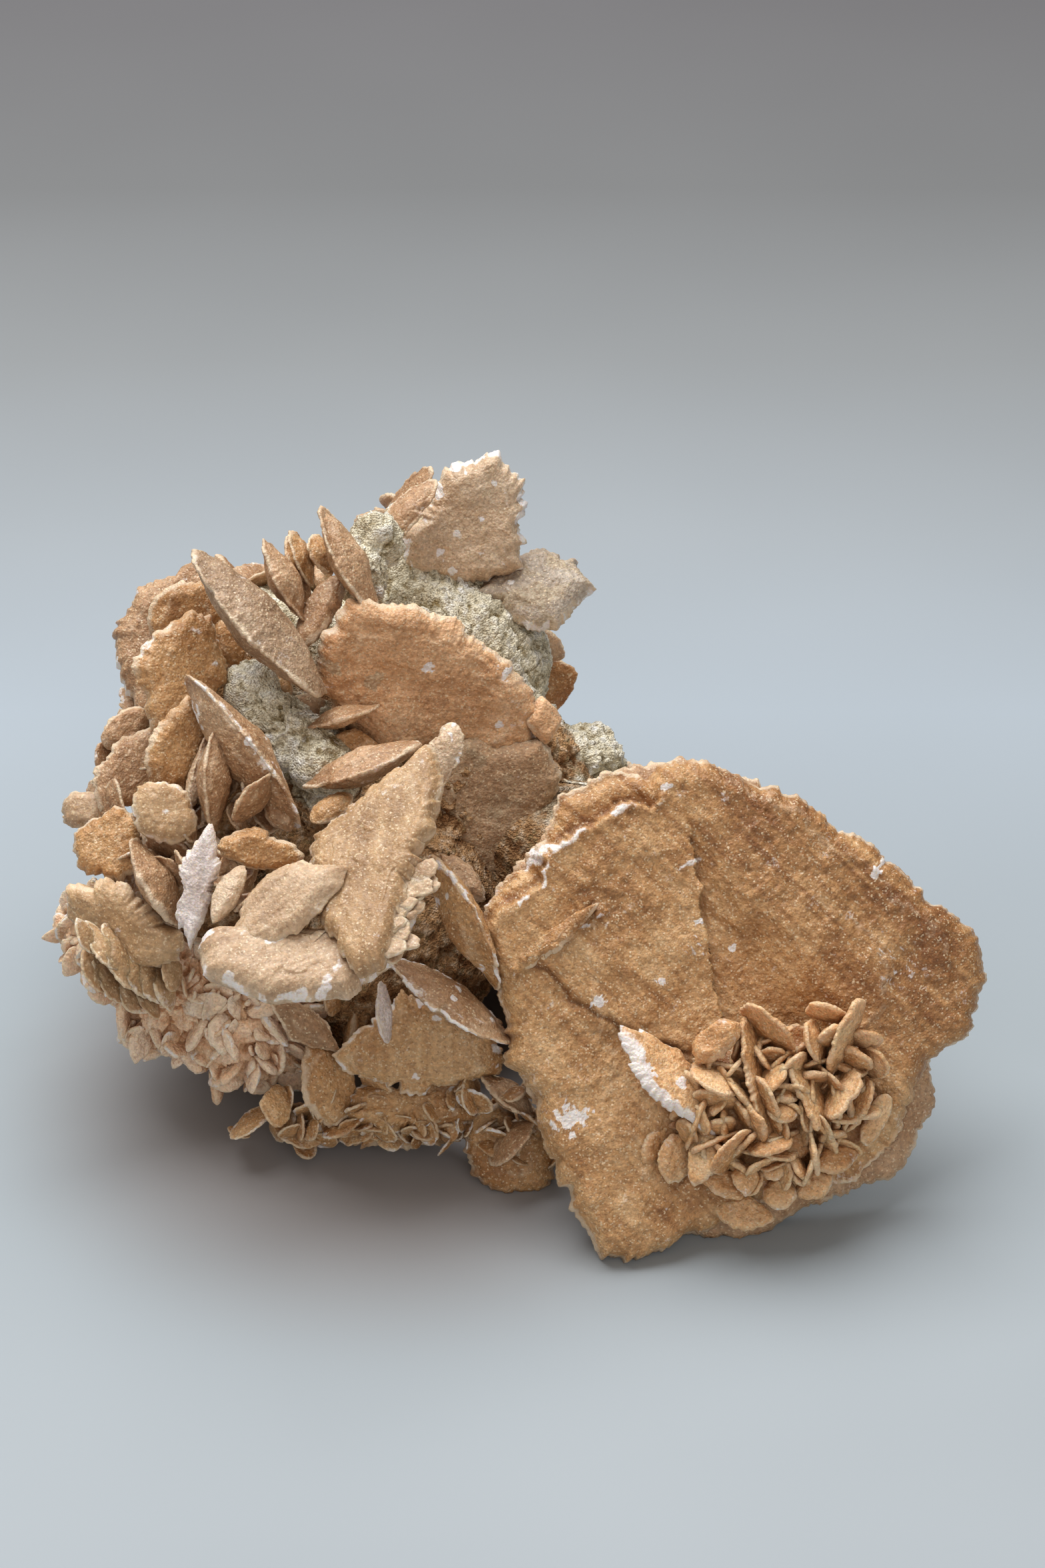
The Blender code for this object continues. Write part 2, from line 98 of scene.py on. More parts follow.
def fbm3(p, seed=0, octaves=3, gain=0.5):
    out, amp, tot = 0.0, 1.0, 0.0
    for o in range(octaves):
        out = out + amp * noise3(p * 2.03 ** o + 11.7 * o, seed + o)
        tot += amp
        amp *= gain
    return out / tot


def smooth(a, b, x):
    t = np.clip((x - a) / (b - a), 0.0, 1.0)
    return t * t * (3 - 2 * t)


# =============================================================================================
# layout of the crystals (the same as the CAD), mm and degrees
# name, centre, (azimuth, elevation) of the face, roll, (long+, long-, wide+, wide-), squareness,
# thickness, form, colour
# =============================================================================================
CRYSTALS = [
    # the great blade on the right, two sheets thick
    ("great_blade", (43, -40, 43.5), (7, 38), 32, (52.5, 53, 48.5, 46.5), 2.0, 12, "plate", "amber"),
    ("great_blade_rear", (41.5, -36, 41.5), (7, 38), -57, (52.5, 54.5, 45.5, 46.5), 1.8, 6.4, "plate", "tan"),
    # blades in front of the left and the middle
    ("boat_lens", (-42, -51, 66), (10, 73), 12, (28.5, 22.5, 12.5, 12.5), 1.2, 8, "plate", "pale"),
    ("front_lens", (-48, -45, 73.5), (-40, 57), 73, (15, 17, 9, 7.5), 1.6, 6, "plate", "tan"),
    ("tall_plate", (-29.5, -37.5, 79.5), (-39, 61), -67, (27, 28, 12.5, 17), 1.2, 7, "plate", "tan"),
    ("tall_plate_tip", (-15.5, -5, 84.5), (-15, 40), 79, (7, 9.5, 3.5, 3.5), 1.8, 4, "lens", "pale"),
    ("vee_right", (-11, -35, 62), (-59, -10), -48, (15.5, 15.5, 11, 11), 1.7, 7.6, "lens", "amber"),
    ("vee_left", (-14, -43, 47.5), (98, 59), 64, (15, 15, 11, 11), 1.7, 6.6, "lens", "tan"),
    ("long_diagonal", (-58.5, -6.5, 86), (-39, -3), -41, (20, 20, 13, 13), 1.8, 6.5, "lens", "tan"),
    ("inner_blade_right", (-33, -5, 81), (-113, 70), -56, (13.5, 13.5, 10, 10), 1.7, 6, "lens", "tan"),
    ("pale_blade", (-66, -37, 73.5), (-14, 31), 82, (13.5, 14, 5, 4), 1.4, 4.5, "plate", "lilac"),
    ("cross_lens", (-55, -27.5, 75), (7, 29), -12, (10, 8, 4.5, 4), 1.6, 6, "plate", "amber"),
    ("leaf_spine", (-64, -12.5, 82.5), (75, 9), 56, (11, 11, 10, 10), 1.6, 7.2, "lens", "tan"),
    ("leaf_narrow", (-68, -7.5, 80.5), (42, 27), 51, (9, 8, 3, 2.5), 1.8, 4, "lens", "pale"),
    ("leaf_broad", (-72.5, -2, 83), (29, 29), 48, (11, 8.5, 4.5, 4.5), 2.0, 5.5, "plate", "amber"),
    ("shell_plate", (-74.5, -18, 78.5), (8, 43), -48, (7.5, 7, 6, 6), 1.8, 5, "plate", "amber"),
    ("left_lens", (-76, -27, 66.5), (84, 36), 63, (10.5, 10.5, 10, 10), 1.7, 6.4, "lens", "tan"),
    ("left_plate", (-86.5, -15, 67), (-9, 49), 53, (9, 9, 8, 8.5), 1.4, 6, "plate", "amber"),
    ("lower_left_plate", (-83.5, -29.5, 56), (-19, 22), -27, (14.5, 15, 8.5, 10), 1.6, 7, "plate", "pale"),
    # the upper left fan and the spikes beside it
    ("fan_front", (-73, 16, 91), (31, 36), 51, (13.5, 17, 10.5, 12.5), 1.2, 6, "plate", "amber"),
    ("fan_middle", (-72.5, 33, 94.5), (6, 26), 21, (8.5, 9, 8, 8), 2.0, 5, "plate", "amber"),
    ("fan_outer", (-77.5, 36, 87.5), (-8, 46), 77, (19, 20.5, 12.5, 11.5), 1.4, 10, "plate", "tan"),
    ("spike_1", (-55.5, 16.5, 103), (109, 39), 52, (20, 20, 13, 13), 1.8, 8, "lens", "tan"),
    ("spike_2", (-50.5, 28, 107), (95, 30), 57, (10, 10, 9, 9), 1.7, 4.8, "lens", "tan"),
    ("spike_4", (-36.5, 29.5, 110.5), (80, 36), 65, (13.5, 13.5, 10, 10), 1.7, 5.6, "lens", "tan"),
    ("spike_3", (-47.5, 39, 106), (86, 26), 59, (6.5, 6.5, 7, 7), 1.7, 5.5, "lens", "amber"),
    ("disc_blade", (-42.5, 26.5, 101), (-44, 60), -79, (11.5, 8.5, 4, 4), 1.6, 5, "plate", "tan"),
    ("leaf_outer_low", (-84.5, 5, 72.5), (20, 42), 41, (10, 9, 4.5, 5), 1.6, 5, "plate", "tan"),
    ("leaf_outer_high", (-86, 18, 75.5), (23, 39), 28, (6, 6.5, 3.5, 4), 1.8, 5, "plate", "tan"),
    ("left_tip", (-94, 2, 64.5), (-19, 51), 26, (5.5, 5.5, 4.5, 4.5), 2.6, 5, "plate", "pale"),
    # upper middle
    ("inner_blade_left", (-38, 9.5, 84), (-113, 75), -58, (8.5, 8.5, 8, 8), 1.7, 4.4, "lens", "pale"),
    ("upper_plate", (-21, 19, 85.5), (9, 14), -31, (28.5, 25.5, 16.5, 18), 1.6, 8, "plate", "pink"),
    ("recess_plate", (-7.5, 11.5, 59), (3, 21), 79, (17, 19.5, 17.5, 16.5), 2.0, 9, "plate", "grey"),
    ("inner_leaf", (-36, 8, 78.5), (20, 54), -24, (6.5, 4.5, 3, 4.5), 1.2, 4, "plate", "pale"),
    ("inner_lens_low", (-39, -13, 76), (-13, 65), 43, (5, 5.5, 3, 3), 2.0, 3.5, "lens", "amber"),
    ("inner_block", (-48, 17, 80.5), (10, 55), 13, (6, 5.5, 3.5, 4), 1.8, 4, "plate", "grey"),
    # the crown
    ("crown_plate", (-11, 59.5, 102.5), (6, 23), 40, (18.5, 18, 13, 16), 1.4, 9, "plate", "pink"),
    ("crown_flank", (-25, 51, 109.5), (-45, 56), 85, (10.5, 10, 4.5, 3.5), 2.0, 5, "lens", "tan"),
    ("crown_ledge", (4.5, 56, 87), (13, 65), -2, (12.5, 16.5, 11, 10), 1.2, 9, "plate", "grey"),
    # the skirt under the middle
    ("skirt_plate", (-21, -40.5, 33.5), (3, 26), -5, (19, 19.5, 11.5, 10), 1.6, 6, "plate", "tan"),
    ("skirt_left", (-41, -41.5, 23.5), (35, 30), 89, (10, 10.5, 5.5, 6.5), 1.6, 6, "plate", "amber"),
    ("skirt_under", (-23, -42.5, 18.5), (4, 41), -1, (14.5, 14.5, 5.5, 5.5), 3.0, 7, "plate", "pale"),
    ("under_blade", (-2, -45, 23.5), (86, 58), 73, (7.5, 7.5, 8, 8), 1.7, 4.2, "lens", "tan"),
    ("under_shell", (-1.5, -46.5, 9.5), (0, 29), -47, (11, 11, 9, 9.5), 1.8, 9, "plate", "pale"),
    ("skirt_foot", (-28, -38.5, 12), (0, 49), -2, (20.5, 19, 5, 6.5), 2.0, 8, "plate", "pale"),
    ("skirt_back", (-45.5, -36.5, 35.5), (28, 50), -55, (9.5, 9.5, 4.5, 4), 1.2, 5, "lens", "grey"),
    # the far side and the underside
    ("rear_foot_left", (-45, 44, 22), (205, -20), 20, (26, 26, 22, 23), 1.8, 8, "plate", "tan"),
    ("rear_foot_right", (20, 44, 22), (160, -20), -15, (25, 24, 23, 23), 1.8, 8, "plate", "tan"),
    ("rear_prop", (52, -8, 22), (100, 10), 60, (26, 24, 20, 18), 1.8, 8, "plate", "amber"),
    ("rear_plate_high", (-12, 72, 74), (172, 12), 30, (22, 21, 16, 17), 1.6, 7, "plate", "pink"),
    ("rear_plate_mid", (-64, 50, 58), (230, 10), 70, (22, 20, 17, 17), 1.7, 7, "plate", "tan"),
    ("rear_cross_blade", (6, 62, 46), (118, 18), 50, (23, 22, 15, 17), 1.7, 6, "lens", "amber"),
    ("side_blade_left", (-74, 12, 46), (262, -14), 30, (19, 18, 15, 13), 1.7, 6, "plate", "pale"),
    ("underside_blade", (-52, -6, 24), (-28, -48), 15, (20, 19, 15, 14), 1.7, 6, "plate", "grey"),
]

CORNERS = {
    "great_blade": [(17, 45), (-10, 49), (-20, 44), (-30, 44), (-38, 25), (-44, 18), (-42, 12), (-49, -5),
                    (-52, -27), (-49, -31), (-12, -40), (1, -46), (15, -44), (28, -35), (39, -36), (49, -29),
                    (53, -20), (48, 2), (40, 25), (33, 33), (27, 45)],
    "great_blade_rear": [(-27, -35), (-7, -43), (10, -47), (29, -44), (45, -24), (46, -12), (53, 10), (45, 25),
                         (16, 45), (-14, 43), (-36, 33), (-45, 26), (-53, 10), (-50, -6), (-48, -22)],
    "upper_plate": [(-20, -10), (-14, -15), (-3, -18), (16, -9), (24, -10), (28, 0), (26, 7), (15, 13), (0, 17),
                    (-12, 15), (-21, 12), (-25, 7), (-25, 0)],
    "recess_plate": [(-2, 17), (-16, 10), (-19, 2), (-19, -5), (-11, -13), (10, -16), (17, -10), (15, -2), (16, 7),
                     (11, 18)],
    "crown_plate": [(-18, -1), (-10, -10), (2, -16), (13, -4), (17, 1), (17, 9), (10, 11), (5, 13), (-5, 9),
                    (-13, 9), (-18, 4)],
    "crown_ledge": [(-12, -4), (-3, -10), (3, -10), (13, -1), (10, 7), (3, 11), (-5, 8), (-13, 2), (-17, -1)],
    "fan_outer": [(-10, 9), (-20, -1), (-16, -5), (-6, -10), (6, -12), (14, -8), (19, -1), (9, 9), (-3, 12)],
    "fan_front": [(-3, 10), (-17, 0), (-8, -7), (2, -12), (14, -2), (13, 3), (5, 9)],
    "tall_plate": [(3, -13), (17, -7), (27, 3), (24, 8), (7, 9), (-9, 12), (-14, 12), (-27, 8), (-28, 5),
                   (-5, -15)],
    "boat_lens": [(-22, 2), (-13, -8), (3, -13), (15, -8), (26, 5), (29, 11), (23, 11), (7, 3), (-8, 8),
                  (-19, 12), (-22, 9)],
    "front_lens": [(-13, -4), (-1, -7), (12, -6), (15, -3), (9, 6), (2, 9), (-4, 8), (-17, 1)],
    "lower_left_plate": [(-11, -5), (5, -10), (14, 3), (12, 8), (-8, 8), (-15, 0)],
    "skirt_plate": [(-14, -7), (-1, -10), (17, -6), (19, -4), (16, 3), (2, 11), (-5, 11), (-18, -3)],
    "left_plate": [(-8, -2), (-4, -7), (1, -8), (8, 0), (7, 6), (-4, 8), (-9, 3)],
    "pale_blade": [(-14, -2), (0, -4), (6, -4), (13, 1), (2, 5), (-9, 3)],
}

# little blades of the rosette: centre, face, roll, half sizes, squareness, thickness, form
ROSETTE = [
    ((30.5, -58.5, 40), (50, 54), -86, (16, 14.5, 7, 6.5), 1.4, 3.6, "plate"),
    ((40.5, -55.5, 46.5), (-34, 52), 59, (6.5, 5.5, 3.5, 3.5), 2.0, 5, "plate"),
    ((50.5, -57, 38), (67, 29), 65, (12, 12, 9, 9), 1.7, 4.2, "lens"),
    ((52, -52.5, 47.5), (-59, -36), -44, (6.5, 6.5, 7, 7), 1.7, 3.2, "lens"),
    ((61, -59.5, 36), (75, 36), 67, (9, 9, 8, 8), 1.7, 3.4, "lens"),
    ((64, -49.5, 49.5), (-18, -31), -16, (4, 4, 5, 5), 1.7, 2.2, "lens"),
    ((68, -53, 46), (62, -7), 49, (7.5, 7.5, 7, 7), 1.7, 2.8, "lens"),
    ((65, -54, 47), (29, -25), 26, (3, 3, 5, 5), 1.7, 2.2, "lens"),
    ((61.5, -54.5, 46), (74, 28), 63, (4, 4, 5, 5), 1.7, 2.6, "lens"),
    ((72.5, -51.5, 44), (-9, -26), -8, (3, 3, 5, 5), 1.7, 2.2, "lens"),
    ((74, -52.5, 38.5), (-55, -22), -44, (3.5, 3.5, 7, 7), 1.7, 2.4, "lens"),
    ((67, -61, 37), (-110, 32), -50, (5.5, 5.5, 6, 6), 1.7, 2.6, "lens"),
    ((69.5, -57.5, 31.5), (-71, 40), -71, (6, 6, 8, 8), 1.7, 2.6, "lens"),
    ((67, -58, 36), (77, 23), 60, (2.5, 2.5, 5, 5), 1.7, 2.2, "lens"),
    ((70, -54, 40.5), (-31, -23), -28, (4, 4, 6, 6), 1.7, 2.4, "lens"),
    ((52.5, -60.5, 41), (-114, 35), -48, (3.5, 3.5, 5, 5), 1.7, 2.4, "lens"),
    ((54.5, -65, 35.5), (0, 76), -4, (3.5, 3, 2.5, 2.5), 1.8, 2.4, "plate"),
    ((55.5, -60.5, 37.5), (104, 81), 71, (2.5, 2.5, 5, 5), 1.7, 2.2, "lens"),
    ((41, -60, 40.5), (119, 63), 49, (5, 5, 7, 7), 1.7, 2.8, "lens"),
    ((41, -61.5, 36), (-16, -37), -14, (4.5, 4.5, 6, 6), 1.7, 2.4, "lens"),
    ((42.5, -64.5, 31.5), (12, -36), 10, (3, 3, 5, 5), 1.7, 2.4, "lens"),
    ((37.5, -64, 32.5), (-55, -1), -49, (3, 3, 5, 5), 1.7, 2.4, "lens"),
    ((44.5, -69, 28.5), (61, -34), 46, (5.5, 5.5, 8, 8), 1.7, 3.6, "lens"),
    ((38.5, -67.5, 27), (-41, 40), -80, (7, 5.5, 4, 4), 1.6, 3, "plate"),
    ((33, -65.5, 23.5), (30, 25), 67, (5.5, 5, 4, 4), 2.0, 2.8, "plate"),
    ((29, -62.5, 25), (28, 32), 43, (5.5, 5, 2.4, 2), 2.0, 2.4, "plate"),
    ((27, -59, 26.5), (23, 39), 38, (3.5, 3, 2, 2), 1.8, 2.2, "plate"),
    ((43, -70, 21), (0, 56), -22, (6, 6, 3, 3), 1.6, 3.4, "plate"),
    ((47.5, -71, 23), (29, 44), 62, (3, 3.5, 3.5, 3), 1.4, 2.8, "plate"),
    ((52, -67, 29.5), (-115, 77), -57, (4.5, 4.5, 6, 6), 1.7, 2.8, "lens"),
    ((53, -68.5, 23.5), (0, 65), 6, (3, 3, 2.5, 2.5), 1.8, 2.6, "plate"),
    ((58, -67.5, 22.5), (84, 41), 65, (3.5, 3.5, 5, 5), 1.7, 2.2, "lens"),
    ((54.5, -70, 18), (-9, 52), -44, (3.4, 3.4, 3.4, 3.4), 2.0, 2.6, "plate"),
    ((47.5, -70, 12.5), (0, 53), -12, (6, 7, 3.5, 4), 1.4, 3, "plate"),
    ((62, -68, 18.5), (9, 52), 21, (4, 4.5, 3, 3), 1.6, 2.6, "plate"),
    ((66.5, -65, 23), (19, 51), 6, (5, 5.5, 3, 3), 1.8, 2.6, "plate"),
    ((75, -58.5, 28.5), (35, 30), 36, (5.5, 6, 2.4, 2.4), 2.3, 2.4, "plate"),
    ((60, -63, 33), (79, 20), 59, (3.5, 3.5, 5, 5), 1.7, 2.2, "lens"),
    ((53, -55, 42), (-7, -37), -6, (2.6, 2.6, 6, 6), 1.7, 2.2, "lens"),
    ((53, -53, 40.5), (128, 60), 41, (3.5, 3.5, 6, 6), 1.7, 2.4, "lens"),
    ((57, -58, 42), (40, -10), 20, (3.5, 3.5, 5, 5), 1.7, 2.2, "lens"),
    ((63, -61, 29), (-60, 30), -60, (4, 4, 5, 5), 1.7, 2.2, "lens"),
    ((58, -65, 27), (20, 50), 10, (3.5, 3.5, 3, 3), 1.7, 2.4, "plate"),
]
ROSETTE_BASE = ((52.5, -57, 31), (7, 38), 3, (22, 20.5, 16.5, 17.5), 2.0, 11.5)

# small blades between the large ones
SMALL = [
    ("great_sprig", (7, -38.5, 59.6), (-35, 52), 63, (12.5, 12, 2.6, 2.4), 1.4, 3.6, "plate", "amber"),
    ("spike_3a", (-48, 39.5, 106), (83, 22), 59, (5.5, 5.5, 7, 7), 1.7, 4.6, "lens", "amber"),
    ("spike_3b", (-43, 39, 107), (89, 31), 60, (4.5, 4.5, 7, 7), 1.7, 4.2, "lens", "amber"),
    ("leaf_8", (-55.5, -17, 81), (59, -28), 45, (6.5, 6.5, 8, 8), 1.7, 4.4, "lens", "tan"),
    ("leaf_9", (-50.5, -14.5, 76), (8, 41), -63, (4.5, 5, 3, 3), 1.8, 3.5, "plate", "tan"),
    ("small_lit", (-59.5, -39.5, 73), (-39, 61), -81, (7, 7, 2.5, 3), 1.6, 4, "plate", "pale"),
    ("needle", (-28, -44.5, 45.5), (77, 17), 58, (6.5, 6.5, 5, 5), 1.7, 2.6, "lens", "lilac"),
    ("sandy_lens", (-11.5, -12.5, 56), (0, 65), -49, (6.5, 9, 3.5, 3.5), 1.4, 5, "plate", "grey"),
    ("under_2", (-1, -49.5, 15.5), (-110, 38), -51, (7.5, 7.5, 9, 9), 1.7, 3.6, "lens", "tan"),
    ("upper_chip", (5.5, 19, 76.5), (35, 30), 75, (5.5, 5.5, 4, 4.5), 1.2, 4, "plate", "pink"),
    ("fan_inner", (-63.5, 30, 89), (21, 33), -78, (5, 6, 3.5, 4), 1.8, 4, "plate", "amber"),
    ("fan_low", (-54, 23, 84), (19, 51), -45, (5, 5, 4, 3.5), 1.6, 4, "plate", "amber"),
]

MASSES = {
    "crumbly_lobe": [((-87, -14, 43), (12, 12, 11)), ((-73.5, -19.5, 32.5), (16, 15, 15)),
                     ((-58, -26, 26.5), (15, 13, 13))],
    "sandy_knob": [((15.5, 36, 53.5), (11, 11, 10)), ((10, 34, 54), (10, 10, 9))],
    "sand_matrix": [((-55, 44, 63), (30, 30, 30)), ((-45, 20, 54), (28, 28, 28)),
                    ((-32, 1, 34), (31, 31, 28)), ((-21.5, 54, 66), (30, 28, 29)),
                    ((-21, 66, 88), (17, 16, 17)), ((-68, 36, 66), (21, 21, 21)),
                    ((-70, -1, 38), (20, 20, 19)), ((30, 3, 35), (29, 28, 28)),
                    ((-22, 32, 44), (42, 32, 37))],
}

# =============================================================================================
# mesh building
# =============================================================================================


def axes_of(face, roll):
    az, el = math.radians(face[0]), math.radians(face[1])
    n = np.array((math.sin(az) * math.cos(el), -math.cos(az) * math.cos(el), math.sin(el)))
    level = np.array((math.cos(az), math.sin(az), 0.0))
    slope = np.cross(n, level)
    x = level * math.cos(math.radians(roll)) + slope * math.sin(math.radians(roll))
    return x, np.cross(n, x), n


TO_EYE = np.array((0.0, -math.cos(math.radians(35.0)), math.sin(math.radians(35.0))))


def edge_on(face, roll, tilt):
    """The same long axis, but the blade turned so that its rim looks to the viewer's side, tilt degrees off."""
    x, _, n = axes_of(face, roll)
    a = TO_EYE - x * float(TO_EYE @ x)
    a /= np.linalg.norm(a)
    c = np.cross(x, a)
    if float(n @ c) < 0:
        c = -c
    t = math.radians(tilt)
    m = a * math.sin(t) + c * math.cos(t)
    return x, np.cross(m, x), m


def square_disc(n):
    """A square grid laid over the unit disc: radius and angle of each node."""
    g = np.linspace(-1.0, 1.0, n + 1)
    u, v = np.meshgrid(g, g)
    u, v = u.ravel(), v.ravel()
    wide = np.abs(u) >= np.abs(v)
    r = np.where(wide, u, v)
    safe = np.where(r == 0, 1.0, r)
    phi = np.where(wide, (math.pi / 4) * v / safe, math.pi / 2 - (math.pi / 4) * u / safe)
    x, y = r * np.cos(phi), r * np.sin(phi)
    return np.abs(r), np.arctan2(y, x), u, v


def rim_loop(n):
    i = np.arange(n)
    w = n + 1
    return np.concatenate([i, i * w + n, n * w + (n - i), (n - i) * w])


ANG = np.linspace(-math.pi, math.pi, 1441)


def outline_table(half, square, corners, soften=1.6):
    """Radius of the rim for each of the angles in ANG, mm."""
    c, s = np.cos(ANG), np.sin(ANG)
    if corners is None:
        a = np.where(c > 0, half[0], half[1])
        b = np.where(s > 0, half[2], half[3])
        return (np.abs(c / a) ** square + np.abs(s / b) ** square) ** (-1.0 / square)
    best = np.zeros_like(ANG)
    for i, p in enumerate(corners):
        q = corners[(i + 1) % len(corners)]
        ex, ey = q[0] - p[0], q[1] - p[1]
        den = c * -ey + ex * s
        den = np.where(np.abs(den) < 1e-9, 1e-9, den)
        t = (p[0] * -ey + ex * p[1]) / den
        u = (c * p[1] - s * p[0]) / den
        best = np.where((t > 0) & (u >= -1e-6) & (u <= 1 + 1e-6) & (t > best), t, best)
    k = max(1, int(soften / 0.25))
    w = np.hanning(2 * k + 3)[1:-1]
    w /= w.sum()
    wrapped = np.concatenate([best[-k - 1:-1], best, best[1:k + 1]])
    return np.convolve(wrapped, w, mode="valid")


class Builder:
    """Collects blades into one mesh, with its bake map and its colour channels: rim, tone (which also holds painted
    shade), white crust, dust or sand.
    """

    def __init__(self, tiles=1):
        self.v, self.f, self.uv, self.w = [], [], [], []
        self.count = 0
        self.tiles = tiles
        self.tile = 0

    def add(self, v, f, uv, w):
        k = self.tiles
        tx, ty = self.tile % k, self.tile // k
        self.tile += 1
        uv = (uv + np.array((tx, ty))) / k
        self.v.append(v)
        self.f.append(f + self.count)
        self.uv.append(uv.reshape(-1, 2))
        self.w.append(w)
        self.count += len(v)

    def finish(self, name, mat):
        v = (np.concatenate(self.v) + TO_FOOTPRINT) * MM
        f = np.concatenate(self.f).astype(np.int32)
        uv = np.concatenate(self.uv)
        w = np.clip(np.concatenate(self.w), 0.0, 1.0)
        v[:, 2] = np.maximum(v[:, 2], 0.0)
        me = bpy.data.meshes.new(name)
        me.vertices.add(len(v))
        me.vertices.foreach_set("co", v.astype(np.float32).ravel())
        me.loops.add(len(f) * 4)
        me.loops.foreach_set("vertex_index", f.ravel())
        me.polygons.add(len(f))
        me.polygons.foreach_set("loop_start", np.arange(len(f), dtype=np.int32) * 4)
        me.polygons.foreach_set("use_smooth", np.ones(len(f), dtype=bool))
        layer = me.uv_layers.new(name="OFBake")
        layer.data.foreach_set("uv", uv.astype(np.float32).ravel())
        # colour channels: rim, tone with some painted shade, white crust, and dust or sand, which also picks the brown
        # used as painted shade
        attr = me.attributes.new("wear_and_shade", "FLOAT_COLOR", "POINT")
        attr.data.foreach_set("color", w.astype(np.float32).ravel())
        me.update()
        me.validate()
        me.materials.append(mat)
        obj = bpy.data.objects.new(name, me)
        bpy.context.scene.collection.objects.link(obj)
        return obj


ALL_LUMPS = [(np.array(c, float), float(np.mean(r))) for m in MASSES.values() for c, r in m]


def near_sand(p, reach=5.0):
    """1 on and in the sandy masses, 0 beyond reach mm from them."""
    d = np.full(len(p), 1e9)
    for c, r in ALL_LUMPS:
        d = np.minimum(d, np.linalg.norm(p - c, axis=1) - r)
    return 1.0 - smooth(0.0, reach, d)


def blade(b, centre, face, roll, half, square, thick, form, seed, corners=None, cell=0.6, rag=0.6, lines=None,
          ribs=None, white=0.20, dust=0.15, tone=0.0, terraces=2, feature=None, rim_z=None, lift=0.0, warp=0.35,
          soften=1.6, grain=1.0, steps=0.32, roof=0.0, axes=None, streak=1.0, teeth=0.5, scales=0.18,
          contact=0.5):
    """One crystal: two faces over a square grid, joined at a ragged rim."""
    X, Y, N = axes_of(face, roll) if axes is None else axes
    table = outline_table(half, square, corners, soften)
    size = 2 * float(table.max())
    n = int(min(230, max(14, round(size / cell / 2) * 2)))
    rho, th, gu, gv = square_disc(n)
    R = np.interp(th, ANG, table)
    px, py = R * np.cos(th), R * np.sin(th)
    # ragged rim: bites and teeth that fade away towards the middle
    reach = min(1.0, size / 24.0)
    rg = (0.9 * fbm2(px / 5.0 + seed, py / 5.0, seed + 1, 2) + 0.75 * fbm2(px / 1.9, py / 1.9 + seed, seed + 2, 2)
          + 0.42 * noise2(px / 0.8, py / 0.8, seed + 3)) * rag * reach
    bites = -1.6 * rag * reach * smooth(0.35, 0.75, noise2(px / 4.2, py / 4.2, seed + 4))
    # blunt teeth: the rim is built of little steps
    arc = np.cumsum(np.concatenate([[0.0], np.hypot(np.diff(table * np.cos(ANG)), np.diff(table * np.sin(ANG)))]))
    along = np.interp(th, ANG, arc)
    tooth = _hash(np.floor(along / 3.3 + 3.2 * noise2(px / 9.0, py / 9.0, seed + 6)).astype(np.int64),
                  np.zeros(len(th), np.int64), np.zeros(len(th), np.int64), seed + 7) * 0.55
    tooth = tooth + 0.22 * _hash(np.floor(along / 1.3 + 1.2 * noise2(px / 4.0, py / 4.0, seed + 9)).astype(np.int64), np.ones(len(th), np.int64),
                                 np.zeros(len(th), np.int64), seed + 8)
    bites = bites + (tooth - 0.2) * rag * reach * teeth
    rr = rho * R + (rg + bites) * rho ** (9 if size > 60 else 5 if size > 30 else 3)
    x, y = rr * np.cos(th), rr * np.sin(th)
    e = (0.22 + 0.035 * thick) if rim_z is None else rim_z
    inset = (1.0 - rho) * R
    if form == "plate":
        q = np.clip(inset / np.minimum(4.5, 0.42 * R), 0.0, 1.0)
        prof = (1.0 - (1.0 - q) ** 2) ** 0.6
    else:
        prof = (1 - roof) * np.maximum(0.0, 1.0 - rho ** 2) + roof * (1.0 - rho)
    body = e + (thick / 2 - e) * prof
    bend = warp * (size / 30.0) * fbm2(x / (0.32 * size), y / (0.32 * size), seed + 5, 2) * (1 - 0.5 * rho)
    band = np.minimum(1.05, 0.08 * R + 0.3)
    rimness = 1.0 - smooth(0.0, 1.0, inset / (2.2 * band))
    inner = smooth(0.0, 1.0, inset / band)
    sides = []
    for side in (1, -1):
        sd = seed + (40 if side > 0 else 80)
        h = body.copy()
        # growth steps that follow the rim
        s = rho + 0.075 * fbm2(x / 4.5, y / 4.5, sd, 3) + 0.10 * noise2(np.cos(th) * 1.3, np.sin(th) * 1.3, sd + 3)
        rnd = random.Random(sd)
        edge_line = np.zeros_like(h)
        drop = np.zeros_like(h)
        for k in range(terraces):
            at = rnd.uniform(0.5, 0.93)
            sect = smooth(-0.25, 0.25, noise2(np.cos(th) * 1.1 + 3 * k, np.sin(th) * 1.1, sd + 7 + k))
            w = 0.9 * cell / (size / 2)
            st = steps * rnd.uniform(0.6, 1.3) * min(1.0, thick / 5)
            drop = drop + st * smooth(at - w, at + w, s) * sect
            edge_line = np.maximum(edge_line, np.exp(-((s - at + 1.5 * w) / (2.2 * w)) ** 2) * sect)
        h = np.maximum(h - drop, 0.7 * e)
        if lines:
            a = math.radians(lines[0])
            o = x * math.cos(a) + y * math.sin(a)
            t = -x * math.sin(a) + y * math.cos(a)
            h = h + lines[1] * (noise2(t / 1.1, o / 16.0, sd + 11) + 0.7 * noise2(t / 2.6, o / 25.0, sd + 12)
                                + 0.4 * noise2(t / 0.55, o / 9.0, sd + 13)) * (0.35 + 0.65 * inner)
        if ribs:
            a = th * ribs[0] / math.tau
            ripple = noise2(np.cos(th) * ribs[0] / 2.2, np.sin(th) * ribs[0] / 2.2, sd + 15)
            h = h + ribs[1] * ripple * smooth(0.15, 0.7, rho)
        h = h + grain * (0.16 * fbm2(x / 1.5, y / 1.5, sd + 17, 2) + 0.10 * noise2(x / 0.62, y / 0.62, sd + 18)
                         + 0.28 * fbm2(x / 5.5, y / 5.5, sd + 19, 2))
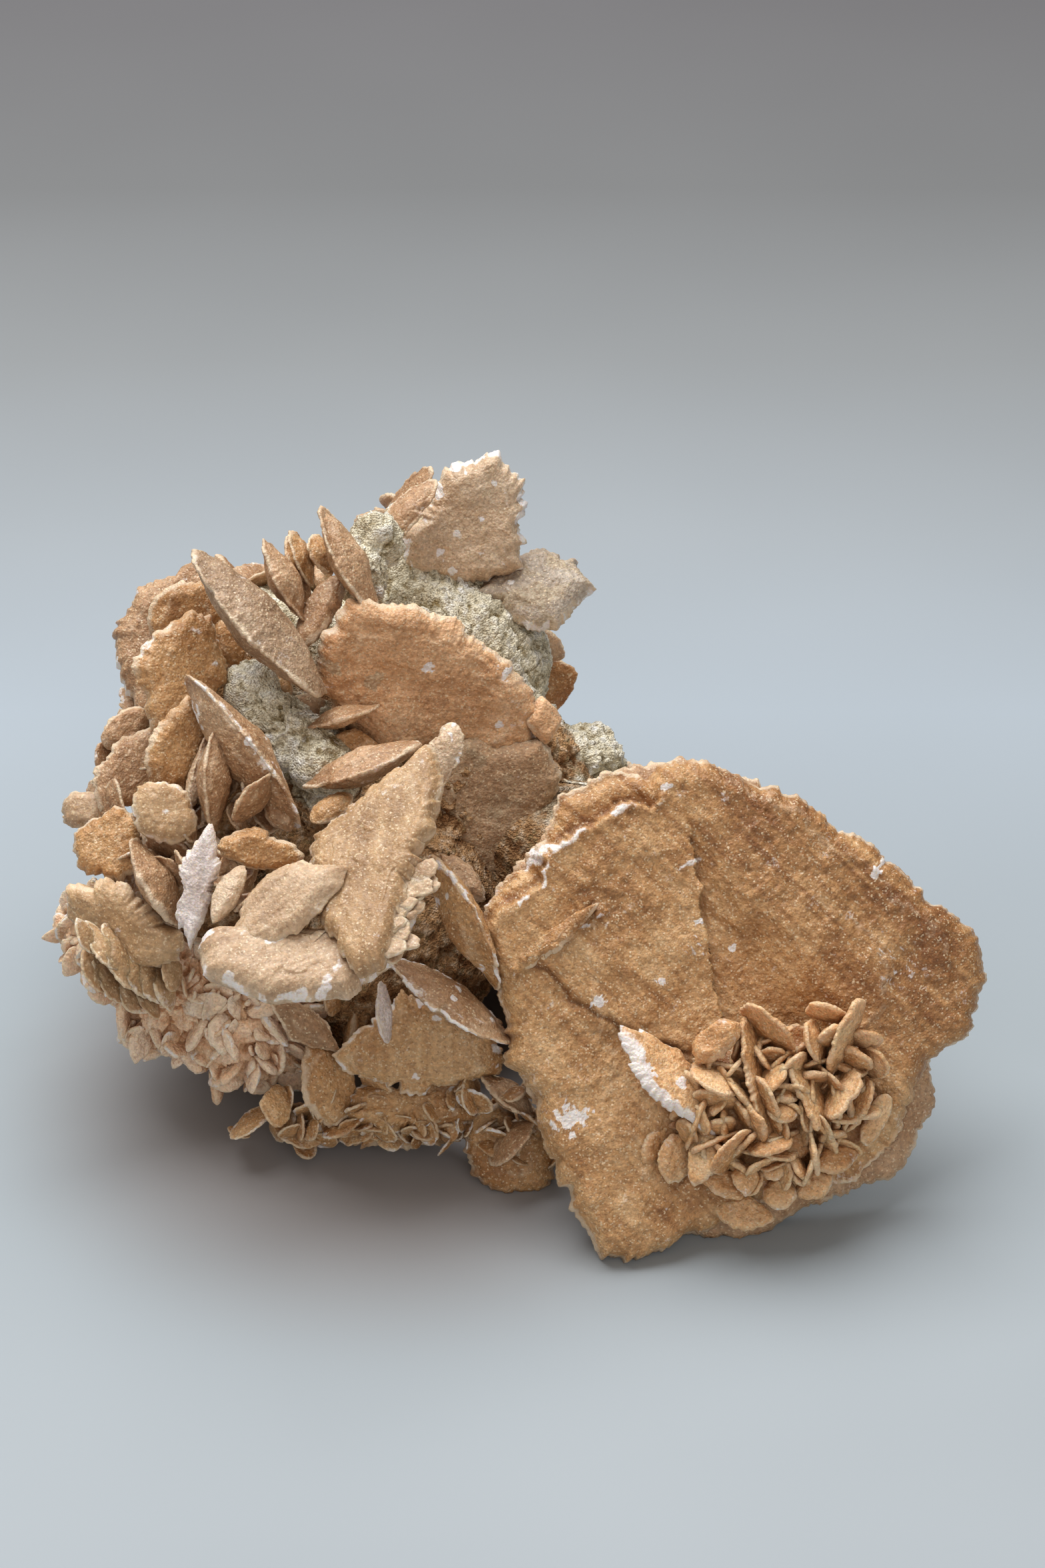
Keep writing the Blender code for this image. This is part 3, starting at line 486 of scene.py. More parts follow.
        # broken growth layers over the face
        q = 2.6 * fbm2(x / 7.5, y / 7.5, sd + 33, 3) + 10.0
        fr = q - np.floor(q)
        leaf = scales * (np.floor(q) - 10.0 + smooth(0.86, 1.0, fr)) * min(1.0, thick / 5)
        h = np.maximum(h + np.where(leaf > 0, leaf * inner, leaf), 0.6 * e)
        layer = np.exp(-((fr - 0.86) / 0.06) ** 2) * 0.5
        h = h + rimness * 0.24 * np.abs(fbm2(x / 1.2, y / 1.2, sd + 20, 2)) * min(1.0, thick / 4)
        wh = np.zeros_like(h)
        tn = 0.5 + 0.30 * fbm2(x / 9.0, y / 9.0, sd + 21, 3) + tone
        if lines:
            tn = tn + streak * (0.14 * noise2(t / 0.8, o / 15.0, sd + 28) + 0.08 * noise2(t / 2.2, o / 22.0, sd + 29))
        ds = np.zeros_like(h)
        if feature:
            h, wh, tn, ds = feature(side, x, y, rho, th, h, wh, tn, ds)
        z = np.maximum(h, 0.5 * e) * side + bend + lift
        p = np.array(centre, float) + x[:, None] * X + y[:, None] * Y + z[:, None] * N
        r = 1.0 - smooth(0.15, 1.0, inset / band + 0.45 * fbm2(x / 1.6, y / 1.6, sd + 23, 2))
        r = r * (0.30 + 0.70 * smooth(-0.35, 0.35, fbm2(x / 6.0, y / 6.0, sd + 24, 2)))
        r = np.clip(r + 0.30 * edge_line + 0.22 * layer, 0, 1)
        patch = fbm2(x / 3.2, y / 3.2, sd + 25, 3)
        spots = smooth(0.40, 0.62, patch + 0.25 * rimness) * white * 1.3
        crust = white * 1.5 * r * smooth(-0.2, 0.35, fbm2(x / 2.4, y / 2.4, sd + 26, 2))
        wh = np.maximum(wh, np.maximum(spots, crust))
        up = max(0.0, float(N[2]) * side)
        near = near_sand(p, 2.5) * (0.5 + 0.5 * noise2(x / 2.5, y / 2.5, sd + 35)) * contact
        ds = ds + dust * (0.45 + 0.8 * up) * smooth(-0.3, 0.5, fbm2(x / 4.0, y / 4.0, sd + 27, 3)) + near
        sides.append((p, np.stack([r, tn, wh, ds], 1)))
    (pf, wf), (pb, wb) = sides
    loop = rim_loop(n)
    m = len(loop)
    nf = len(pf)
    outdir = np.cos(th[loop])[:, None] * X + np.sin(th[loop])[:, None] * Y
    mid = (pf[loop] + pb[loop]) / 2 + outdir * (0.25 + 0.15 * noise2(px[loop] / 0.7, py[loop] / 0.7, seed + 31))[:, None] * min(1.0, e / 0.4)
    wm = (wf[loop] + wb[loop]) / 2
    v = np.concatenate([pf, pb, mid])
    w = np.concatenate([wf, wb, wm])
    # the bake map, corner by corner: front on the left, back on the right, half of the rim round each
    wdt = n + 1
    idx = np.arange(n * wdt).reshape(n, wdt)[:, :n].ravel()
    quad = np.stack([idx, idx + 1, idx + 1 + wdt, idx + wdt], 1)
    k = np.arange(m)
    k1 = (k + 1) % m
    strip_f = np.stack([loop[k], 2 * nf + k, 2 * nf + k1, loop[k1]], 1)
    strip_b = np.stack([2 * nf + k, nf + loop[k], nf + loop[k1], 2 * nf + k1], 1)
    f = np.concatenate([quad, quad[:, ::-1] + nf, strip_f, strip_b])
    uvf = np.stack([0.25 + 0.225 * gu, 0.5 + 0.46 * gv], 1)
    uvb = uvf + np.array((0.5, 0.0))
    mf = np.stack([0.25 + 0.242 * gu[loop], 0.5 + 0.488 * gv[loop]], 1)
    mb = mf + np.array((0.5, 0.0))
    uv = np.concatenate([uvf[quad], uvb[quad[:, ::-1]],
                         np.stack([uvf[loop[k]], mf[k], mf[k1], uvf[loop[k1]]], 1),
                         np.stack([mb[k], uvb[loop[k]], uvb[loop[k1]], mb[k1]], 1)])
    b.add(v, f, uv, w)


def lump_surface(b, lumps, centre, n, seed, blend=2.0, amp=1.0, cracks=0.0, shrink=1.8, recess=False, sandy=None):
    """A sandy mass: a cube laid over the sphere round the centre, pushed out to the lumps, then worn."""
    centre = np.array(centre, float)
    g = np.tan(np.linspace(-math.pi / 4, math.pi / 4, n + 1))
    U, V = np.meshgrid(g, g)
    u, v = U.ravel(), V.ravel()
    one = np.ones_like(u)
    faces = [(one, u, v), (-one, -u, v), (-u, one, v), (u, -one, v), (-v, u, one), (v, u, -one)]
    wdt = n + 1
    idx = np.arange(n * wdt).reshape(n, wdt)[:, :n].ravel()
    quad = np.stack([idx, idx + 1, idx + 1 + wdt, idx + wdt], 1)
    G = np.linspace(0.02, 0.98, n + 1)
    GU, GV = np.meshgrid(G, G)
    allp, allf, alluv = [], [], []
    for i, d in enumerate(faces):
        d = np.stack(d, 1)
        d = d / np.linalg.norm(d, axis=1)[:, None]
        best = np.full(len(d), -1e3)
        for c, r in lumps:
            r = np.array(r, float)
            o = (centre - np.array(c, float)) / r
            q = d / r
            A = (q * q).sum(1)
            B = (q * o).sum(1)
            C = (o * o).sum() - 1.0
            disc = B * B - A * C
            t = np.where(disc > 0, (-B + np.sqrt(np.maximum(disc, 0))) / A, -1e3)
            m = np.maximum(blend - np.abs(best - t), 0.0) / blend
            best = np.maximum(best, t) + m * m * blend * 0.25
        best = np.maximum(best, 1.0)
        p = centre + d * best[:, None]
        allp.append(p)
        allf.append(quad + i * len(p))
        tu, tv = i % 3, i // 3
        uv = np.stack([(GU.ravel() + tu) / 3.0, (GV.ravel() + tv) / 2.0], 1)
        alluv.append(uv[quad])
    p = np.concatenate(allp)
    f = np.concatenate(allf)
    uv = np.concatenate(alluv)
    d = p - centre
    d /= np.linalg.norm(d, axis=1)[:, None]
    big = fbm3(p / 9.0, seed, 3)
    mid = fbm3(p / 3.0, seed + 5, 2)
    fine = fbm3(p / 1.2, seed + 9, 2)
    grit = noise3(p / 0.6, seed + 12)
    pits = smooth(0.25, 0.7, noise3(p / 5.0, seed + 14))
    holes = smooth(0.30, 0.75, noise3(p / 1.7, seed + 16))
    h = amp * (2.2 * big + 1.1 * mid + 0.80 * fine + 0.34 * grit - 1.6 * pits - 0.9 * holes)
    crack = np.abs(noise3(p / 6.5, seed + 21))
    cut = (1.0 - smooth(0.0, 0.07, crack)) * cracks
    deep = smooth(-44, -52, p[:, 0]) * smooth(44, 34, p[:, 1]) * smooth(56, 64, p[:, 2]) if recess else 0.0
    h = h - cut * 1.4 - shrink - 4.5 * deep
    p = p + d * h[:, None]
    # painted shade: the tone is darker down the cracks and in the holes
    tone = 0.5 + 0.5 * mid - 0.8 * cut - 0.28 * holes
    white = smooth(0.25, 0.6, fbm3(p / 2.2, seed + 31, 2)) * 0.75
    sand = np.ones_like(h) if sandy is None else sandy(p)
    w = np.stack([np.zeros_like(h), tone, white * sand, sand], 1)
    # weld the seams of the six sheets
    key = np.round(p * 2000).astype(np.int64)
    _, first, back = np.unique(key, axis=0, return_index=True, return_inverse=True)
    back = back.ravel()
    b.add(p[first], back[f], uv, w[first])


# =============================================================================================
# materials
# =============================================================================================
def srgb(r, g, b):
    out = []
    for c in (r, g, b):
        c = c / 255.0
        out.append(c / 12.92 if c <= 0.04045 else ((c + 0.055) / 1.055) ** 2.4)
    return tuple(out) + (1.0,)


class Nodes:
    def __init__(self, name):
        self.mat = bpy.data.materials.new(name)
        self.mat.use_nodes = True
        self.t = self.mat.node_tree
        self.bsdf = self.t.nodes["Principled BSDF"]
        self.n = 0
        self.coord = self.new("ShaderNodeTexCoord").outputs["Object"]

    def new(self, kind, **props):
        node = self.t.nodes.new(kind)
        node.location = (-1800 + 180 * (self.n % 10), 600 - 220 * (self.n // 10))
        self.n += 1
        for k, v in props.items():
            setattr(node, k, v)
        return node

    def link(self, a, b):
        if isinstance(a, (int, float)):
            b.default_value = a
        elif isinstance(a, tuple):
            b.default_value = a
        else:
            self.t.links.new(a, b)

    def noise(self, size, detail=2.0, rough=0.5, distort=0.0, offset=None):
        node = self.new("ShaderNodeTexNoise")
        vec = self.coord
        if offset is not None:
            m = self.new("ShaderNodeMapping")
            m.inputs["Location"].default_value = offset
            self.link(vec, m.inputs["Vector"])
            vec = m.outputs["Vector"]
        self.link(vec, node.inputs["Vector"])
        node.inputs["Scale"].default_value = 1000.0 / size
        node.inputs["Detail"].default_value = detail
        node.inputs["Roughness"].default_value = rough
        node.inputs["Distortion"].default_value = distort
        return node.outputs["Fac"]

    def cells(self, size, feature="F1", out="Color", rand=1.0):
        node = self.new("ShaderNodeTexVoronoi", feature=feature)
        self.link(self.coord, node.inputs["Vector"])
        node.inputs["Scale"].default_value = 1000.0 / size
        node.inputs["Randomness"].default_value = rand
        return node.outputs[out]

    def split(self, colour):
        node = self.new("ShaderNodeSeparateColor")
        self.link(colour, node.inputs["Color"])
        return node.outputs

    def maths(self, op, a, b=0.0, clamp=False):
        node = self.new("ShaderNodeMath", operation=op, use_clamp=clamp)
        self.link(a, node.inputs[0])
        self.link(b, node.inputs[1])
        return node.outputs[0]

    def remap(self, v, a, b, c=0.0, d=1.0, smoothly=False):
        node = self.new("ShaderNodeMapRange", interpolation_type="SMOOTHSTEP" if smoothly else "LINEAR", clamp=True)
        self.link(v, node.inputs["Value"])
        node.inputs["From Min"].default_value = a
        node.inputs["From Max"].default_value = b
        node.inputs["To Min"].default_value = c
        node.inputs["To Max"].default_value = d
        return node.outputs["Result"]

    def mix(self, fac, a, b, blend="MIX"):
        node = self.new("ShaderNodeMix", data_type="RGBA", blend_type=blend, clamp_factor=True)
        self.link(fac, node.inputs["Factor"])
        self.link(a, node.inputs["A"] if False else node.inputs[6])
        self.link(b, node.inputs[7])
        return node.outputs[2]

    def scale_colour(self, colour, value):
        """colour times a grey value."""
        node = self.new("ShaderNodeVectorMath", operation="SCALE")
        self.link(colour, node.inputs[0])
        self.link(value, node.inputs["Scale"])
        return node.outputs[0]


def gypsum(name, base, deep, light, rim=srgb(234, 212, 182), rim_mix=0.72, sss=0.22, rough=0.50, glint=1.0,
           speck=1.0, bump=1.0, mottle=1.0, crevice_shade_colour=srgb(104, 66, 36)):
    m = Nodes(name)
    attr = m.new("ShaderNodeAttribute", attribute_name="wear_and_shade", attribute_type="GEOMETRY")
    ch = m.split(attr.outputs["Color"])
    edge, tone, white = ch["Red"], ch["Green"], ch["Blue"]
    dust = attr.outputs["Alpha"]
    n_big = m.noise(11.0, 3.0, 0.55)
    n_mid = m.noise(2.6, 4.0, 0.6, offset=(0.3, 0.1, 0.2))
    n_fine = m.noise(0.75, 3.0, 0.6, offset=(0.7, 0.4, 0.1))
    cell = m.split(m.cells(0.62))
    cell2 = m.split(m.cells(0.34))
    # tone: deep and dark where the crystal is clear, light where it is milky
    t = m.maths("ADD", m.maths("MULTIPLY", tone, 0.72), m.maths("MULTIPLY", n_big, 0.28))
    t = m.maths("ADD", t, m.maths("MULTIPLY", m.maths("SUBTRACT", n_mid, 0.5), 0.38 * mottle))
    ramp = m.new("ShaderNodeValToRGB")
    ramp.color_ramp.interpolation = "B_SPLINE"
    ramp.color_ramp.elements[0].position = 0.18
    ramp.color_ramp.elements[0].color = deep
    ramp.color_ramp.elements[1].position = 0.82
    ramp.color_ramp.elements[1].color = light
    mid = ramp.color_ramp.elements.new(0.5)
    mid.color = base
    m.link(t, ramp.inputs["Fac"])
    col = ramp.outputs["Color"]
    # grain: each sugary grain is a little lighter or darker than the next
    g = m.remap(cell["Red"], 0.0, 1.0, 1.0 - 0.16 * speck, 1.0 + 0.16 * speck)
    g = m.maths("MULTIPLY", g, m.remap(n_fine, 0.25, 0.75, 0.84, 1.16))
    col = m.scale_colour(col, g)
    darkgrain = m.maths("MULTIPLY", m.remap(cell2["Green"], 0.94, 0.97), 0.45 * speck)
    col = m.mix(darkgrain, col, deep)
    # milky rim
    r = m.maths("MULTIPLY", m.remap(m.maths("ADD", edge, m.maths("MULTIPLY", m.maths("SUBTRACT", n_mid, 0.5), 0.7)),
                                    0.18, 0.85), rim_mix)
    col = m.mix(r, col, rim)
    # sand caught on the surface
    s = m.remap(m.maths("ADD", dust, m.maths("MULTIPLY", m.maths("SUBTRACT", n_mid, 0.5), 0.9)), 0.35, 0.80)
    s = m.maths("MULTIPLY", s, 0.62)
    sand = m.mix(cell["Green"], srgb(150, 124, 92), srgb(202, 184, 154))
    col = m.mix(s, col, sand)
    # white powder crust
    w = m.remap(m.maths("ADD", white, m.maths("MULTIPLY", m.maths("SUBTRACT", n_fine, 0.5), 0.9)), 0.34, 0.66)
    col = m.mix(m.maths("MULTIPLY", w, 0.90), col, srgb(242, 235, 230))
    # painted glints: pale grain specks mixed into the base colour as highlights; the roughness also drops there
    painted_glint = m.maths("MULTIPLY", m.remap(cell2["Red"], 0.88, 0.97), glint)
    col = m.mix(m.maths("MULTIPLY", painted_glint, 0.58), col, srgb(244, 222, 184))
    # painted shade: the colour is pulled towards a dark colour in the nooks, wherever ambient occlusion finds surfaces
    # close by
    crevice_ao = m.new("ShaderNodeAmbientOcclusion")
    crevice_ao.samples = 4
    crevice_ao.inputs["Distance"].default_value = 0.0050
    painted_crevice_shade = m.remap(crevice_ao.outputs["AO"], 0.62, 0.12)
    col = m.mix(m.maths("MULTIPLY", painted_crevice_shade, 0.62), col, crevice_shade_colour)
    m.link(col, m.bsdf.inputs["Base Color"])
    ro = m.remap(cell["Blue"], 0.0, 1.0, rough - 0.12, rough + 0.14)
    ro = m.maths("ADD", ro, m.maths("MULTIPLY", s, 0.25))
    ro = m.maths("SUBTRACT", ro, m.maths("MULTIPLY", painted_glint, 0.25), clamp=True)
    m.link(ro, m.bsdf.inputs["Roughness"])
    m.bsdf.inputs["Specular IOR Level"].default_value = 0.45
    m.bsdf.inputs["IOR"].default_value = 1.52
    if sss:
        m.bsdf.inputs["Subsurface Weight"].default_value = sss
        m.bsdf.inputs["Subsurface Radius"].default_value = (1.0, 0.55, 0.28)
        m.bsdf.inputs["Subsurface Scale"].default_value = 0.0022
    # relief: grains over a soft dimpled skin
    h = m.maths("ADD", m.maths("MULTIPLY", n_fine, 0.45), m.maths("MULTIPLY", n_mid, 0.5))
    grain = m.cells(0.55, out="Distance")
    h = m.maths("ADD", h, m.maths("MULTIPLY", grain, -0.35))
    h = m.maths("ADD", h, m.maths("MULTIPLY", m.noise(0.3, 1.0, 0.5), 0.16))
    bp = m.new("ShaderNodeBump")
    bp.inputs["Strength"].default_value = 0.75 * bump
    bp.inputs["Distance"].default_value = 0.00065
    m.link(h, bp.inputs["Height"])
    m.link(bp.outputs["Normal"], m.bsdf.inputs["Normal"])
    return m.mat


def sandstone(name, base, deep, light, bump=1.0, white=srgb(225, 216, 202)):
    m = Nodes(name)
    attr = m.new("ShaderNodeAttribute", attribute_name="wear_and_shade", attribute_type="GEOMETRY")
    ch = m.split(attr.outputs["Color"])
    tone, wh = ch["Green"], ch["Blue"]
    sandy = attr.outputs["Alpha"]
    n_big = m.noise(8.0, 3.0, 0.6)
    n_mid = m.noise(2.0, 4.0, 0.65, offset=(0.2, 0.5, 0.1))
    n_fine = m.noise(0.6, 3.0, 0.6, offset=(0.4, 0.1, 0.6))
    cell = m.split(m.cells(0.48))
    cell2 = m.split(m.cells(0.9))
    t = m.maths("ADD", m.maths("MULTIPLY", tone, 0.5), m.maths("MULTIPLY", n_big, 0.5))
    t = m.maths("ADD", t, m.maths("MULTIPLY", m.maths("SUBTRACT", n_mid, 0.5), 0.7))
    ramp = m.new("ShaderNodeValToRGB")
    ramp.color_ramp.elements[0].position = 0.22
    ramp.color_ramp.elements[0].color = deep
    ramp.color_ramp.elements[1].position = 0.80
    ramp.color_ramp.elements[1].color = light
    mid = ramp.color_ramp.elements.new(0.5)
    mid.color = base
    m.link(t, ramp.inputs["Fac"])
    col = ramp.outputs["Color"]
    # brown ramp: the matrix's own stained colour, also used as painted shade in the deep spaces between the blades
    brown = m.new("ShaderNodeValToRGB")
    brown.color_ramp.elements[0].position = 0.25
    brown.color_ramp.elements[0].color = srgb(122, 80, 44)
    brown.color_ramp.elements[1].position = 0.80
    brown.color_ramp.elements[1].color = srgb(224, 178, 126)
    m.link(t, brown.inputs["Fac"])
    col = m.mix(m.remap(m.maths("ADD", sandy, m.maths("MULTIPLY", m.maths("SUBTRACT", n_mid, 0.5), 0.9)), 0.3, 0.7),
                brown.outputs["Color"], col)
    col = m.scale_colour(col, m.remap(cell["Red"], 0.0, 1.0, 0.84, 1.32))
    col = m.mix(m.maths("MULTIPLY", m.remap(cell2["Green"], 0.90, 0.93), 0.6), col, deep)
    w = m.remap(m.maths("ADD", wh, m.maths("MULTIPLY", m.maths("SUBTRACT", n_fine, 0.5), 0.8)), 0.42, 0.75)
    col = m.mix(m.maths("MULTIPLY", w, 0.75), col, white)
    m.link(col, m.bsdf.inputs["Base Color"])
    m.link(m.remap(cell["Blue"], 0.0, 1.0, 0.72, 0.98), m.bsdf.inputs["Roughness"])
    m.bsdf.inputs["Specular IOR Level"].default_value = 0.3
    h = m.maths("ADD", m.maths("MULTIPLY", n_fine, 0.6), m.maths("MULTIPLY", n_mid, 0.8))
    h = m.maths("ADD", h, m.maths("MULTIPLY", m.cells(0.5, out="Distance"), -0.6))
    bp = m.new("ShaderNodeBump")
    bp.inputs["Strength"].default_value = 0.9 * bump
    bp.inputs["Distance"].default_value = 0.0009
    m.link(h, bp.inputs["Height"])
    m.link(bp.outputs["Normal"], m.bsdf.inputs["Normal"])
    return m.mat


MATS = {
    "amber": gypsum("amber_gypsum_look", srgb(190, 140, 86), srgb(130, 80, 38), srgb(219, 180, 132)),
    "tan": gypsum("tan_gypsum_look", srgb(182, 140, 100), srgb(126, 84, 50), srgb(212, 180, 146)),
    "pale": gypsum("pale_gypsum_look", srgb(212, 182, 148), srgb(168, 126, 88), srgb(230, 208, 182)),
    "pink": gypsum("pink_gypsum_look", srgb(222, 170, 120), srgb(166, 114, 74), srgb(236, 200, 162)),
    "lilac": gypsum("lilac_gypsum_look", srgb(240, 224, 216), srgb(196, 172, 158), srgb(250, 242, 238)),
    "grey": gypsum("grey_gypsum_look", srgb(176, 136, 98), srgb(120, 84, 52), srgb(204, 174, 140), rough=0.65),
    "sand": sandstone("sandy_matrix_look", srgb(240, 229, 200), srgb(146, 124, 82), srgb(253, 250, 242), bump=1.3),
    "crumb": sandstone("crumbly_gypsum_look", srgb(206, 162, 122), srgb(138, 92, 58), srgb(232, 208, 182)),
}

MATS["umber"] = gypsum("umber_gypsum_look", srgb(168, 136, 104), srgb(114, 82, 54), srgb(196, 168, 140))
MATS["honey"] = gypsum("honey_gypsum_look", srgb(182, 145, 104), srgb(134, 96, 58), srgb(212, 177, 134), sss=0.30, bump=0.6,
                       speck=0.7, mottle=0.8)
MATS["ledge"] = gypsum("ledge_gypsum_look", srgb(184, 166, 146), srgb(138, 118, 96), srgb(212, 200, 184))
MATS["peach"] = gypsum("peach_gypsum_look", srgb(190, 157, 122), srgb(142, 106, 72), srgb(222, 194, 162), sss=0.30, bump=0.55, speck=0.7, mottle=0.8)
# the last colour given to these two is the colour of their painted shade in the nooks between blades
MATS["rosette"] = gypsum("rosette_look", srgb(222, 168, 110), srgb(150, 96, 52), srgb(240, 206, 162), rim_mix=0.38, sss=0.35, crevice_shade_colour=srgb(128, 80, 42))
MATS["crumbly_blades"] = gypsum("crumbly_blades_look", srgb(240, 196, 154), srgb(184, 134, 92), srgb(250, 224, 198), crevice_shade_colour=srgb(196, 146, 104),
                                rough=0.6, bump=1.2)

# looks of the single crystals
LOOKS = {
    "great_blade": dict(rag=0.8, teeth=0.45, scales=0.30, white=0.27, dust=0.10, terraces=3, grain=1.1, lines=(-81, 0.09), streak=1.2, soften=1.0),
    "great_blade_rear": dict(rag=1.0, white=0.25, cell=0.8),
    "boat_lens": dict(roof=0.45, white=0.50, lines=(2, 0.06), rag=0.5, grain=0.6, scales=0.14),
    "front_lens": dict(roof=0.5, rag=0.5, white=0.25, grain=0.55, scales=0.12, lines=(5, 0.05)),
    "tall_plate": dict(lines=(4, 0.06), streak=0.8, white=0.30, rag=1.0, terraces=3, grain=0.6, scales=0.14),
    "tall_plate_tip": dict(white=0.6),
    "vee_right": dict(white=0.75, dust=0.3),
    "vee_left": dict(white=0.85, dust=0.3),
    "long_diagonal": dict(white=0.75),
    "inner_blade_right": dict(white=0.3),
    "pale_blade": dict(rag=0.9, white=0.2),
    "shell_plate": dict(rag=1.2, ribs=(12, 0.14), white=0.4, tone=0.2),
    "left_lens": dict(dust=0.45),
    "left_plate": dict(rag=1.0),
    "lower_left_plate": dict(rag=0.9, white=0.35, tone=0.22),
    "fan_front": dict(rag=0.8, ribs=(7, 0.14), white=0.4),
    "fan_middle": dict(white=0.1),
    "fan_outer": dict(rag=1.0, ribs=(8, 0.2), white=0.6),
    "spike_1": dict(white=0.3),
    "leaf_outer_low": dict(rag=0.8),
    "left_tip": dict(rag=1.0),
    "upper_plate": dict(lines=(20, 0.05), streak=0.5, rag=0.8, dust=0.3, white=0.25, scales=0.28),
    "recess_plate": dict(dust=0.4, white=0.2, tone=0.18),
    "inner_block": dict(dust=0.6),
    "crown_plate": dict(white=0.8, rag=0.9, terraces=3),
    "crown_flank": dict(white=0.3),
    "crown_ledge": dict(white=0.7, rag=1.0, dust=0.8),
    "skirt_plate": dict(rag=1.2, lines=(92, 0.10), streak=0.9, white=0.55, tone=0.20),
    "skirt_under": dict(rag=1.4, teeth=0.3, dust=0.1, white=0.6, ribs=(16, 0.5), lines=(92, 0.1)),
    "under_shell": dict(rag=1.0, ribs=(6, 0.5), white=0.3),
    "skirt_foot": dict(rag=1.4, white=0.3),
    "rear_foot_left": dict(rag=0.9, ribs=(7, 0.3)),
    "rear_foot_right": dict(rag=0.9, white=0.2),
    "rear_plate_high": dict(rag=0.9, white=0.3),
    "rear_plate_mid": dict(ribs=(9, 0.3)),
    "side_blade_left": dict(rag=1.0),
    "underside_blade": dict(dust=0.6),
}


# blades whose sharp rim looks to the viewer: thickness across the rim (mm), tilt (degrees)
EDGE_ON = {
    "spike_1": (13.5, 20), "spike_2": (7.5, 16), "spike_4": (8.0, 20), "spike_3": (6.0, 15), "long_diagonal": (12.0, 20),
    "leaf_spine": (8.0, 12), "inner_blade_right": (8.5, 12), "inner_blade_left": (5.0, 10), "vee_left": (7.5, 22),
    "vee_right": (9.5, 24), "left_lens": (8.5, 16), "leaf_narrow": (5.5, 25), "under_blade": (6.0, 16),
    "leaf_8": (6.0, 15), "needle": (3.2, 15), "spike_3a": (5.5, 20), "spike_3b": (5.0, 20), "under_2": (5.0, 15),
}


def poly_side(x, y, pts):
    """Distance to an open line, and which side of it (+1 on its left)."""
    best = np.full(x.shape, 1e9)
    side = np.zeros_like(x)
    for p, q in zip(pts[:-1], pts[1:]):
        ex, ey = q[0] - p[0], q[1] - p[1]
        L2 = ex * ex + ey * ey
        t = np.clip(((x - p[0]) * ex + (y - p[1]) * ey) / L2, 0, 1)
        dx, dy = x - (p[0] + t * ex), y - (p[1] + t * ey)
        d = np.hypot(dx, dy)
        s = np.sign(ex * dy - ey * dx)
        near = d < best
        best = np.where(near, d, best)
        side = np.where(near, s, side)
    return best, side


def spots(x, y, pts, seed):
    out = np.zeros_like(x)
    for i, (a, b, r) in enumerate(pts):
        d = np.hypot(x - a, (y - b) * 1.3) / (1.5 * r)
        splat = 1.0 - d + 0.75 * fbm2(x / 1.1, y / 1.1, seed + i, 3)
        out = np.maximum(out, smooth(0.35, 0.62, splat) * (d < 1.6))
    return out


# outline of the front sheet of the great blade, with the thinner sheet that shows above it, and the
# lines on it: the edges of its two growth steps, a crack, a crest, a faint fold
GREAT = [(20.2, 48.5), (15.5, 49.5), (8.7, 54.3), (3.5, 54), (-1.5, 56), (-9.8, 50.5), (-20.8, 48.4),
         (-28.6, 46.4), (-33, 42.5), (-38, 25), (-44, 18), (-42, 12), (-49, -5), (-52, -27), (-49, -31), (-12, -40),
         (1, -46), (15, -44), (28, -35), (39, -36), (49, -29), (53, -20), (48, 2), (40, 25), (33, 36), (27, 45)]
LOW_STEP = [(-42, 33), (-36, 39), (-32.4, 42), (-28.6, 44.2), (-24.1, 43.8), (-16, 43.4), (-13.2, 46.5), (-12.5, 52)]
HIGH_STEP = [(-32, 47.5), (-20.8, 47), (-12.2, 49), (-3.3, 48.2), (1.6, 47), (9.7, 46), (11.9, 42.7), (16.5, 43.5),
             (19.3, 40.6), (15.8, 33.8)]
CRACK = [(-40, 40), (-28, 33.2), (-25.6, 27.3), (-25.1, 20.2), (-20.8, 10.7), (-18.3, 5.8), (-12, -3), (-6, -12)]
CREST = [(-32.6, 31.2), (-26.1, 32.8), (-17.5, 32.6), (-9.1, 31.3)]
FOLD = [(-8.8, 37.6), (2.7, 36.6), (5.1, 35.2), (8, 25), (10.4, 16.3)]


